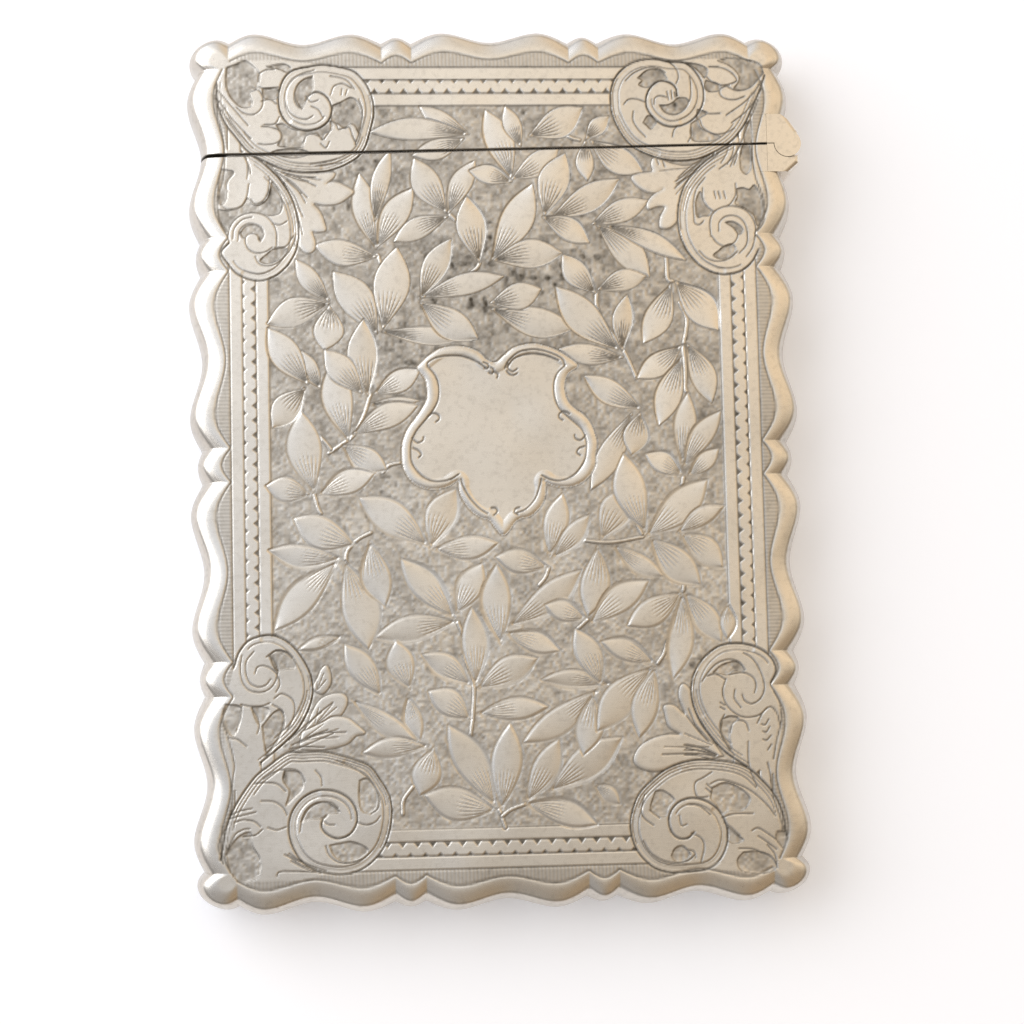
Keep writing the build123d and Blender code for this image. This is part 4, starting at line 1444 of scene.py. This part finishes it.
@dataclass(frozen=True)
class SilverFinish:
    """Polished sterling silver that has been handled for years: bright where rubbed, brown-grey in the cuts.

    Attributes:
        name: material name.
        clean: hex colour of rubbed silver.
        tarnish: hex colour of the dirt in the cuts.
        polish: roughness where rubbed.
        dull: roughness where dirty.
        cloud: how much the tone drifts over a centimetre.
        reads_dirt_and_shade: True where the mesh carries its own tarnish and painted shade.
        specks: how dark the small specks are.
        scratches: strength of the rubbing scratches.
    """

    name: str
    clean: str = "F0E9DF"
    tarnish: str = "57524A"
    polish: float = 0.24
    dull: float = 0.52
    cloud: float = 0.12
    reads_dirt_and_shade: bool = True
    specks: float = 0.16
    scratches: float = 0.12

    def make(self) -> bpy.types.Material:
        """Builds the material: tarnish and painted shade from the mesh drive colour and roughness; a slow
        cloud and scratches vary it.

        Returns:
            The material.
        """
        material = bpy.data.materials.new(self.name)
        material.use_nodes = True
        tree = material.node_tree
        tree.nodes.clear()
        node = partial(add_node, tree)
        # The slow noise gives old silver its clouds, the small noise its specks, and the streaks the fine
        # rubbing scratches that break up the shine.
        place = node("ShaderNodeTexCoord").outputs["Object"]
        slow = {"Vector": place, "Scale": 1 / (14 * MM), "Detail": 4.0, "Roughness": 0.6}
        drift = node("ShaderNodeTexNoise", slow).outputs["Fac"]
        small = {"Vector": place, "Scale": 1 / (0.6 * MM), "Detail": 3.0}
        specks = node("ShaderNodeTexNoise", small).outputs["Fac"]
        stretch = {"Vector": place, "Rotation": (0, 0, 0.9), "Scale": (1, 9, 1)}
        along = node("ShaderNodeMapping", stretch).outputs[0]
        streaks = {"Vector": along, "Scale": 1 / (1.6 * MM), "Detail": 5.0}
        scratches = node("ShaderNodeTexNoise", streaks).outputs["Fac"]
        clouded = {"Value": drift, 1: 0.35, 2: 0.7, 3: 0.0, 4: self.cloud}
        cloudy = node("ShaderNodeMapRange", clouded).outputs[0]
        dotted = {"Value": specks, 1: 0.5, 2: 0.8, 3: 0.0, 4: self.specks}
        speckled = node("ShaderNodeMapRange", dotted).outputs[0]
        worn = node("ShaderNodeMath", {0: cloudy, 1: speckled}, operation="ADD").outputs[0]
        # The mesh attribute carries tarnish in the cuts together with painted shade and light: leaf cuts
        # painted darker near the lid, the lower ground painted paler, and the wall painted darker.
        if self.reads_dirt_and_shade:
            cut = node("ShaderNodeAttribute", attribute_name="dirt_and_shade").outputs["Fac"]
            worn = node("ShaderNodeMath", {0: worn, 1: cut}, operation="ADD", use_clamp=True).outputs[0]
        silver = {"Factor": worn, "A": colour(self.clean), "B": colour(self.tarnish)}
        tone = node("ShaderNodeMix", silver, data_type="RGBA").outputs["Result"]
        rough = node("ShaderNodeMapRange", {"Value": worn, 3: self.polish, 4: self.dull}).outputs[0]
        rubbed = {"Strength": self.scratches, "Distance": 0.02 * MM, "Height": scratches}
        bump = node("ShaderNodeBump", rubbed).outputs[0]
        surface = {"Base Color": tone, "Metallic": 1.0, "Roughness": rough, "Normal": bump}
        shader = node("ShaderNodeBsdfPrincipled", surface)
        node("ShaderNodeOutputMaterial", {"Surface": shader.outputs[0]})
        return material


# ----------------------------------------------------------
# Meshes
# ----------------------------------------------------------


# Angle between faces that shows as a crease, in degrees.
CREASE = 50
# Distances from the saw cut at which its worn edge is modelled.
WORN_STEPS = np.array([0.0, 0.03, 0.07, 0.12, 0.18])
# How dark the saw cut's edge is, and how dark the wall and the inside are. The wall's darkness is partly
# tarnish and partly painted shade that dims its reflection of the bright floor.
SAW_DIRT = 0.8
WALL_DIRT_AND_SHADE = 0.24
INSIDE_DIRT = 0.3


def in_space(xy: np.ndarray, z: np.ndarray | float) -> np.ndarray:
    """Points in space from points on the plane and their heights."""
    return np.concatenate([xy, np.broadcast_to(z, xy.shape[:-1])[..., None]], axis=-1)


def repeat_ends(layer: np.ndarray) -> np.ndarray:
    """The same rows with their first and last columns given twice."""
    return np.concatenate([layer[:, :1], layer, layer[:, -1:]], axis=1)


def saw_dirt(away: np.ndarray) -> np.ndarray:
    """The dirt along the saw cut, at distances from it."""
    return SAW_DIRT * (1 - smooth_step(0.02, 0.16, away))


class Side(Enum):
    """Which way a face looks."""

    FRONT = "front"
    BACK = "back"


@dataclass
class SweptSolid:
    """A closed profile carried along a path, closed with flat caps.

    Attributes:
        name: piece name.
        points: rows of profiles, in millimetres, last axis x, y, z.
        dirt_and_shade: tarnish and painted shade at each point.
        side: the face it belongs to; a back piece is the front one seen in a mirror through the mid plane.
        normals: shading normals, or None for the mesh's own.
        first_shaded: first column of quads that takes the given normals.
        last_shaded: the column after the last that takes them.
    """

    name: str
    points: np.ndarray
    dirt_and_shade: np.ndarray
    side: Side
    normals: np.ndarray | None = None
    first_shaded: int = 0
    last_shaded: int = 0

    def build(self, thickness: float, material: bpy.types.Material) -> bpy.types.Object:
        """Makes the mesh object.

        Args:
            thickness: thickness of the case, which the mirror needs.
            material: its finish.

        Returns:
            The object, at the origin.
        """
        points, dirt_and_shade, normals = self.points, self.dirt_and_shade, self.normals
        rows, columns = dirt_and_shade.shape
        index = np.arange(rows * columns).reshape(rows, columns)
        beside = np.roll(index, -1, 1)
        quads = np.stack([index[:-1], beside[:-1], beside[1:], index[1:]], axis=-1)
        caps = [index[0][::-1], index[-1]]
        if self.side is Side.BACK:
            points = points * (1, 1, -1) + (0, 0, thickness)
            quads = quads[..., ::-1]
            caps = [cap[::-1] for cap in caps]
            normals = None if normals is None else normals * (1, 1, -1)
        flat_quads = quads.reshape(-1, 4)
        starts = np.concatenate([np.arange(len(flat_quads) + 1) * 4, [len(flat_quads) * 4 + columns]])
        corners = np.concatenate([flat_quads.ravel(), *caps])
        mesh = bpy.data.meshes.new(self.name)
        mesh.vertices.add(rows * columns)
        mesh.vertices.foreach_set("co", (points.reshape(-1, 3) * MM).astype(np.float32).ravel())
        mesh.loops.add(len(corners))
        mesh.loops.foreach_set("vertex_index", corners.astype(np.int32))
        mesh.polygons.add(len(starts))
        mesh.polygons.foreach_set("loop_start", starts.astype(np.int32))
        mesh.update(calc_edges=True)
        mesh.validate()
        layer = mesh.attributes.new("dirt_and_shade", "FLOAT", "POINT")
        layer.data.foreach_set("value", dirt_and_shade.astype(np.float32).ravel())
        mesh.polygons.foreach_set("use_smooth", np.ones(len(starts), bool))
        mesh.set_sharp_from_angle(angle=math.radians(CREASE))
        if normals is not None:
            self._shade(mesh, quads, normals.reshape(-1, 3))
        mesh.materials.append(material)
        piece = bpy.data.objects.new(self.name, mesh)
        bpy.context.scene.collection.objects.link(piece)
        return piece

    def _shade(self, mesh: bpy.types.Mesh, quads: np.ndarray, normals: np.ndarray) -> None:
        """Gives the engraved columns the relief's own normals, so that pieces meet without a seam.

        Args:
            mesh: the mesh, with its polygons in place.
            quads: corners of the quads, by row and column; the caps come after them.
            normals: one normal to each vertex.
        """
        flat = np.empty(len(mesh.polygons) * 3, np.float32)
        mesh.polygons.foreach_get("normal", flat)
        totals = np.empty(len(mesh.polygons), np.int32)
        mesh.polygons.foreach_get("loop_total", totals)
        corner_normals = np.repeat(flat.reshape(-1, 3), totals, axis=0)
        engraved = np.zeros(quads.shape[:2], bool)
        engraved[:, self.first_shaded : self.last_shaded] = True
        chosen = np.repeat(engraved.ravel(), 4)
        used = quads.reshape(-1, 4).ravel()
        corner_normals[: len(used)][chosen] = normals[used][chosen]
        mesh.normals_split_custom_set(corner_normals.tolist())


@dataclass(frozen=True)
class Mouth:
    """The saw cut between the lid and the body: two straight lines that spread from the hinge.

    Attributes:
        hinge_x: x of the hinge axis.
        hinge_y: y of the hinge axis.
        gap: gap at the hinge.
        body_tilt: slope of the body's edge, in degrees.
        lid_tilt: slope of the lid's edge, in degrees.
        round_off: radius worn on both edges.
    """

    hinge_x: float = 34.0
    hinge_y: float = 36.2
    gap: float = 0.1
    body_tilt: float = 1.05
    lid_tilt: float = 0.9
    round_off: float = 0.14

    def edge(self, x: np.ndarray | float, lid: bool) -> np.ndarray | float:
        """Height of the lid's or the body's edge at x."""
        tilt, offset = (self.lid_tilt, self.gap / 2) if lid else (self.body_tilt, -self.gap / 2)
        return self.hinge_y + offset + math.tan(math.radians(tilt)) * (x - self.hinge_x)

    def drop(self, away: np.ndarray) -> np.ndarray:
        """How far the worn edge falls: a quarter circle of the worn radius within that radius of the cut."""
        inside = np.clip(self.round_off - away, 0, self.round_off)
        return self.round_off - np.sqrt(self.round_off**2 - inside**2)


@dataclass
class Shell:
    """The engraved plates and the rolled rim of one face of the case.

    Attributes:
        engraving: the ornament.
        outline: the scalloped edge.
        mouth: the saw cut.
        side: front or back.
        finish: finish of the silver.
        pitch: mesh step on the plates.
        rim_pitch: mesh step along the rim.
        thickness: thickness of the case.
        sheet: thickness of the silver.
        lug_x: inner edge of the hinge plates, which the rim leaves room for.
        lug_low: lower end of the hinge plates.
        lug_high: upper end of the hinge plates.
        margin: width of the rolled margin inside the arris.
        margin_fall: how far the margin has dropped at the arris.
        blocks: how many pieces the body's plate is made in.
        wall_x: x on the wall where the height of the saw cut is taken.
        least_out: least bulge of the wall that still gives it a direction.
        inner_gap: how far the inside of the wall starts from the arris.
        cut_from: height on the case above which the saw cut can touch the wall.
        out_of_reach: a distance at which the saw cut changes nothing.
    """

    engraving: Engraving
    outline: Outline
    mouth: Mouth
    side: Side
    finish: bpy.types.Material
    pitch: float = 0.125
    rim_pitch: float = 0.13
    thickness: float = 9.5
    sheet: float = 0.5
    lug_x: float = 31.6
    lug_low: float = 32.9
    lug_high: float = 39.6
    margin: float = 1.4
    margin_fall: float = 0.2
    blocks: int = 4
    wall_x: float = 32.0
    least_out: float = 0.02
    inner_gap: float = 0.35
    cut_from: float = 30.0
    out_of_reach: float = 9.0

    def build(self) -> list[bpy.types.Object]:
        """Makes every piece of this face.

        Returns:
            The pieces, riding on their bodies.
        """
        pieces = []
        for lid in (False, True):
            body = "lid" if lid else "body"
            for solid in [*self._plates(lid), self._rim(lid)]:
                piece = solid.build(self.thickness, self.finish)
                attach(piece, body)
                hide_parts(f"{body}_{self.side.value}_shell")
                pieces.append(piece)
        return pieces

    def _plates(self, lid: bool) -> list[SweptSolid]:
        """The flat engraved plate, as rows of points from one straight side to the other: each row lies at
        a fixed share of the way to the saw cut, at the relief's height, over a flat underside.

        Args:
            lid: True for the lid.

        Returns:
            The plate, in as many pieces as it is made in.
        """
        half = self.outline.face_x
        x = np.linspace(-half, half, round(2 * half / self.pitch) + 1)
        far = self.outline.face_y if lid else -self.outline.face_y
        edge = self.mouth.edge(x, lid)
        span = np.abs(edge - far).max()
        even = np.linspace(0, 1, round(span / self.pitch) + 1)[:-2]
        share = np.concatenate([even, 1 - WORN_STEPS[::-1] / span])
        y = far + share[:, None] * (edge - far)[None, :]
        if lid:
            y = y[::-1]
        xs = np.broadcast_to(x, y.shape)
        height, dirt_and_shade, normal = self.engraving.read(xs, y)
        away = np.abs(edge - y)
        top = self.thickness + height - self.mouth.drop(away)
        dirt_and_shade = np.maximum(dirt_and_shade, saw_dirt(away))
        lean = np.clip(self.mouth.round_off - away, 0, None) / self.mouth.round_off
        normal = normal + lean[..., None] * np.array([0, -1.0 if lid else 1.0, 0])
        normal /= np.linalg.norm(normal, axis=-1, keepdims=True)
        points = np.stack([xs, y, top], axis=-1)
        low = points[:, [0, -1]].copy()
        low[..., 2] = self.thickness - self.sheet
        points = np.concatenate([low[:, :1], points, low[:, 1:]], axis=1)
        dirt_and_shade, normal = repeat_ends(dirt_and_shade), repeat_ends(normal)
        count = 1 if lid else self.blocks
        cuts = np.linspace(0, len(points) - 1, count + 1).round().astype(int)
        name = f"{'lid' if lid else 'body'}_{self.side.value}_plate"
        return [
            SweptSolid(
                name if count == 1 else f"{name}_{k + 1}",
                points[start : end + 1],
                dirt_and_shade[start : end + 1],
                self.side,
                normal[start : end + 1],
                1,
                points.shape[1] - 2,
            )
            for k, (start, end) in enumerate(zip(cuts[:-1], cuts[1:]))
        ]

    def _travels(self, lid: bool) -> np.ndarray:
        """Places along the edge from the saw cut round to the saw cut, closer beside it and at the hinge.

        Args:
            lid: True for the lid.

        Returns:
            The travels, rising.
        """
        turn = self.outline.travel[-1]
        right = self.outline.travel_at_height(self.mouth.edge(self.wall_x, lid), True)
        left = self.outline.travel_at_height(self.mouth.edge(-self.wall_x, lid), False)
        start, end = (right, left) if lid else (left, right + turn)
        base = np.linspace(start, end, round((end - start) / self.rim_pitch) + 1)[2:-2]
        lug, past = (self.lug_high, 0.0) if lid else (self.lug_low, turn)
        steps = [self.outline.travel_at_height(lug + beside, True) + past for beside in (-0.01, 0.01)]
        return np.unique(np.concatenate([start + WORN_STEPS, base, end - WORN_STEPS, steps]))

    def _rim_foot(self, arris: np.ndarray) -> tuple[np.ndarray, np.ndarray]:
        """Where the rim starts on the edge of the straight-sided face.

        Args:
            arris: points of the arris.

        Returns:
            The points on the face's edge, and where the arris runs along a long side.
        """
        half = np.array([self.outline.face_x, self.outline.face_y])
        face = np.clip(arris, -half, half)
        on_side = np.abs(arris[:, 1]) < SIDE_STOP_Y
        on_end = np.abs(arris[:, 0]) < END_STOP_X
        face[:, 0] = np.where(on_side, np.sign(arris[:, 0]) * half[0], face[:, 0])
        face[:, 1] = np.where(on_end & ~on_side, np.sign(arris[:, 1]) * half[1], face[:, 1])
        return face, on_side

    def _rim(self, lid: bool) -> SweptSolid:
        """The margin and wall: a closed section carried round the scalloped edge. From the straight-sided
        face it runs flat to the arris, then down a quarter ellipse to the mid ridge, and back inside the
        sheet. Beside the saw cut the section slides onto the cut's slope, and its worn edge falls away.

        Args:
            lid: True for the lid.

        Returns:
            The rim.
        """
        arris, ridge = self.outline.at(self._travels(lid))
        face, on_side = self._rim_foot(arris)
        at_lug = (arris[:, 0] > 0) & (arris[:, 1] > self.lug_low) & (arris[:, 1] < self.lug_high)
        arris[at_lug, 0] = self.lug_x - 0.02
        ridge[at_lug, 0] = self.lug_x
        strip = np.linspace(0, 1, 21)
        flat_xy = face[:, None] + (arris - face)[:, None] * strip[None, :, None]
        height, dirt_and_shade, _ = self.engraving.read(flat_xy[..., 0], flat_xy[..., 1])
        near_arris = np.linalg.norm(flat_xy - arris[:, None], axis=-1)
        fall = self.margin_fall * np.clip(1 - near_arris / self.margin, 0, 1) ** 2 * ~at_lug[:, None]
        height = height - fall
        middle, under = self.thickness / 2, self.thickness - self.sheet
        turn = np.linspace(0, np.pi / 2, 13)[1:]
        out = ridge - arris
        outward = out / np.maximum(np.linalg.norm(out, axis=1, keepdims=True), self.least_out)
        wall_xy = arris[:, None] + out[:, None] * np.sin(turn)[None, :, None]
        wall_z = middle + (middle + height[:, -1:]) * np.cos(turn)
        inner = ridge - outward * self.sheet
        inner_top = arris * (1 - self.inner_gap / np.linalg.norm(arris, axis=1, keepdims=True))
        back = [in_space(inner, middle), in_space(inner_top, under), in_space(face, under)]
        inside = np.stack(back, axis=1)
        flat = in_space(flat_xy, self.thickness + height)
        points = np.concatenate([flat, in_space(wall_xy, wall_z), inside], axis=1)
        edge = self.mouth.edge(points[..., 0], lid)
        nominal = self.mouth.edge(np.sign(arris[:, :1]) * self.wall_x, lid)
        side_y = np.abs(arris[:, 1] - nominal[:, 0])[:, None]
        points[..., 1] += np.where(on_side[:, None], (edge - nominal) * np.clip(1 - side_y / 2, 0, 1), 0)
        near_cut = np.where(on_side[:, None] & (arris[:, 1:] > self.cut_from), side_y, self.out_of_reach)
        drop = self.mouth.drop(near_cut)
        lift = np.concatenate([np.ones(len(strip)), np.cos(turn), np.zeros(3)])
        push = np.concatenate([np.zeros(len(strip)), np.sin(turn), np.zeros(3)])
        points[..., 2] -= drop * lift
        points[..., :2] -= outward[:, None] * (drop * push)[..., None]
        # The wall takes tarnish plus painted shade, which dims its reflection of the bright floor.
        wall_dirt_and_shade = np.full(wall_xy.shape[:2], WALL_DIRT_AND_SHADE)
        dirt_and_shade = np.concatenate([dirt_and_shade, wall_dirt_and_shade, np.full((len(arris), 3), INSIDE_DIRT)], axis=1)
        dirt_and_shade = np.maximum(dirt_and_shade, saw_dirt(near_cut))
        return SweptSolid(f"{'lid' if lid else 'body'}_{self.side.value}_rim", points, dirt_and_shade, self.side)


# ----------------------------------------------------------
# Hinge and bezel
# ----------------------------------------------------------


@dataclass
class PlainParts:
    """Parts whose shape comes from the frame: they only take a finish.

    Attributes:
        bezel_finish: finish of the liner.
        hinge_finish: finish of the hinge plates and barrels.
        pin_finish: finish of the pin.
    """

    bezel_finish: bpy.types.Material
    hinge_finish: bpy.types.Material
    pin_finish: bpy.types.Material

    def dress(self, nodes: dict[str, bpy.types.Object]) -> list[bpy.types.Object]:
        """Gives each carried-over part its finish.

        Args:
            nodes: the frame's parts by name.

        Returns:
            The dressed parts.
        """
        dressed = []
        for name, part in nodes.items():
            if name.endswith("_shell"):
                continue
            finish = {"bezel": self.bezel_finish, "hinge_pin": self.pin_finish}.get(name, self.hinge_finish)
            for slot in part.material_slots:
                slot.material = finish
            dressed.append(part)
        return dressed


# ----------------------------------------------------------
# Studio
# ----------------------------------------------------------


# The sky's two ramps, multiplied: place from -1 to 1 along X and along Y, and colour.
SKY_ACROSS = (
    (-1.0, "E0E5EE"),
    (-0.4, "D1D7E2"),
    (-0.14, "D6DAE2"),
    (-0.02, "D4D3D2"),
    (0.1, "D2CBC0"),
    (0.3, "DCC7AB"),
    (1.0, "CCBFAC"),
)
SKY_UPWARD = (
    (-0.8, "9E9890"),
    (-0.2, "A39E98"),
    (-0.05, "CFD2D5"),
    (0.1, "E3E5E7"),
    (0.28, "FFFDF8"),
    (0.5, "E0E0E0"),
    (1.0, "E4E4E4"),
)


@dataclass
class Studio:
    """Pale floor, soft light and the camera.

    Attributes:
        eye: place of the camera, in millimetres.
        aim: the point it looks at.
        roll: its turn about its own axis, in degrees.
        lens: focal length, in millimetres.
        sensor: width of the sensor, in millimetres.
        floor_size: side of the floor, in metres.
        floor_glow: light the floor gives off, which keeps it near white under the lamp.
        sky_strength: brightness of the sky.
        lamp_place: where the lamp stands, in millimetres.
        lamp_size: side of the lamp, in metres.
        lamp_power: power of the lamp, in watts.
    """

    eye: tuple[float, float, float] = (-14.78, -25.75, 242.29)
    aim: tuple[float, float, float] = (1.32, -5.78, 9.5)
    roll: float = 1.31
    lens: float = 73.5
    sensor: float = 36.0
    floor_size: float = 4.0
    floor_glow: float = 0.26
    sky_strength: float = 1.6
    lamp_place: tuple[float, float, float] = (-420, 200, 360)
    lamp_size: float = 0.60
    lamp_power: float = 2.2

    def build(self) -> None:
        """Sets out the floor, the sky, the lamp and the camera."""
        bpy.context.scene.view_settings.view_transform = "Standard"
        self._floor()
        self._sky()
        self._lamp()
        self._camera()

    def _floor(self) -> None:
        """A pale sheet under the case."""
        half = self.floor_size / 2
        mesh = bpy.data.meshes.new("floor")
        corners = [(-half, -half, 0), (half, -half, 0), (half, half, 0), (-half, half, 0)]
        mesh.from_pydata(corners, [], [(0, 1, 2, 3)])
        material = bpy.data.materials.new("white_card")
        material.use_nodes = True
        shader = material.node_tree.nodes["Principled BSDF"]
        shader.inputs["Base Color"].default_value = colour("F3F4F8")
        shader.inputs["Emission Color"].default_value = colour("F2F3F8")
        shader.inputs["Emission Strength"].default_value = self.floor_glow
        shader.inputs["Roughness"].default_value = 0.9
        mesh.materials.append(material)
        floor = bpy.data.objects.new("floor", mesh)
        bpy.context.scene.collection.objects.link(floor)

    def _sky(self) -> None:
        """Even light from two ramps: cool from the left, warm from the right, and dimmer from below."""
        world = bpy.data.worlds.new("studio_sky")
        bpy.context.scene.world = world
        world.use_nodes = True
        tree = world.node_tree
        tree.nodes.clear()
        direction = add_node(tree, "ShaderNodeTexCoord").outputs["Generated"]
        tints = []
        for axis, bands in (((1, 0, 0), SKY_ACROSS), ((0, 1, 0), SKY_UPWARD)):
            slant = add_node(
                tree, "ShaderNodeVectorMath", {0: direction, 1: axis}, operation="DOT_PRODUCT"
            ).outputs["Value"]
            share = add_node(tree, "ShaderNodeMapRange", {"Value": slant, 1: -1.0, 2: 1.0}).outputs[0]
            ramp = add_node(tree, "ShaderNodeValToRGB", {"Fac": share})
            stops = ramp.color_ramp.elements
            while len(stops) < len(bands):
                stops.new(0.5)
            for stop, (place, tint) in zip(stops, bands):
                stop.position, stop.color = (place + 1) / 2, colour(tint)
            tints.append(ramp.outputs["Color"])
        both = add_node(
            tree,
            "ShaderNodeMix",
            {"Factor": 1.0, "A": tints[0], "B": tints[1]},
            data_type="RGBA",
            blend_type="MULTIPLY",
        ).outputs["Result"]
        glow = add_node(tree, "ShaderNodeBackground", {"Color": both, "Strength": self.sky_strength})
        add_node(tree, "ShaderNodeOutputWorld", {"Surface": glow.outputs[0]})

    def _lamp(self) -> None:
        """A square soft lamp up to the left, turned to the case, for a slant light across the engraving."""
        light = bpy.data.lights.new("key_light", "AREA")
        light.energy, light.size = self.lamp_power, self.lamp_size
        lamp = bpy.data.objects.new("key_light", light)
        bpy.context.scene.collection.objects.link(lamp)
        lamp.location = Vector(self.lamp_place) * MM
        lamp.rotation_euler = (-lamp.location).to_track_quat("-Z", "Y").to_euler()

    def _camera(self) -> None:
        """The camera looks down from just below and left of the middle."""
        data = bpy.data.cameras.new("camera")
        data.lens, data.sensor_width = self.lens, self.sensor
        data.clip_start, data.clip_end = 10 * MM, 10.0
        camera = bpy.data.objects.new("camera", data)
        bpy.context.scene.collection.objects.link(camera)
        eye, aim = Vector(self.eye) * MM, Vector(self.aim) * MM
        forward = (aim - eye).normalized()
        right = forward.cross(Vector((0, 1, 0))).normalized()
        right = Matrix.Rotation(math.radians(self.roll), 3, forward) @ right
        upward = right.cross(forward)
        facing = Matrix((right, upward, -forward)).transposed().to_4x4()
        camera.matrix_world = Matrix.Translation(eye) @ facing
        bpy.context.scene.camera = camera


def main() -> None:
    """Builds the pieces in order and reports each."""
    logging.basicConfig(level=logging.INFO, format="%(name)s: %(message)s")
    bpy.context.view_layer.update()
    outline = Outline()
    engraving = Engraving(outline)
    mouth = Mouth()
    engraved = SilverFinish("engraved_sterling_silver").make()
    plain = SilverFinish("plain_drawn_silver", reads_dirt_and_shade=False, polish=0.3, cloud=0.3).make()
    polished = SilverFinish("rubbed_hinge_silver", reads_dirt_and_shade=False, polish=0.2).make()
    pin = SilverFinish("hard_silver_pin", reads_dirt_and_shade=False, polish=0.28, cloud=0.3).make()
    shells = [
        Shell(engraving, outline, mouth, Side.FRONT, engraved),
        Shell(engraving, outline, mouth, Side.BACK, engraved, pitch=0.2, rim_pitch=0.22, blocks=2),
    ]
    for shell in shells:
        for piece in shell.build():
            LOG.info("%s: %d faces", piece.name, len(piece.data.polygons))
    for part in PlainParts(plain, polished, pin).dress(frame["nodes"]):
        LOG.info("%s: dressed", part.name)
    Studio().build()


if __name__ == "__main__":
    main()
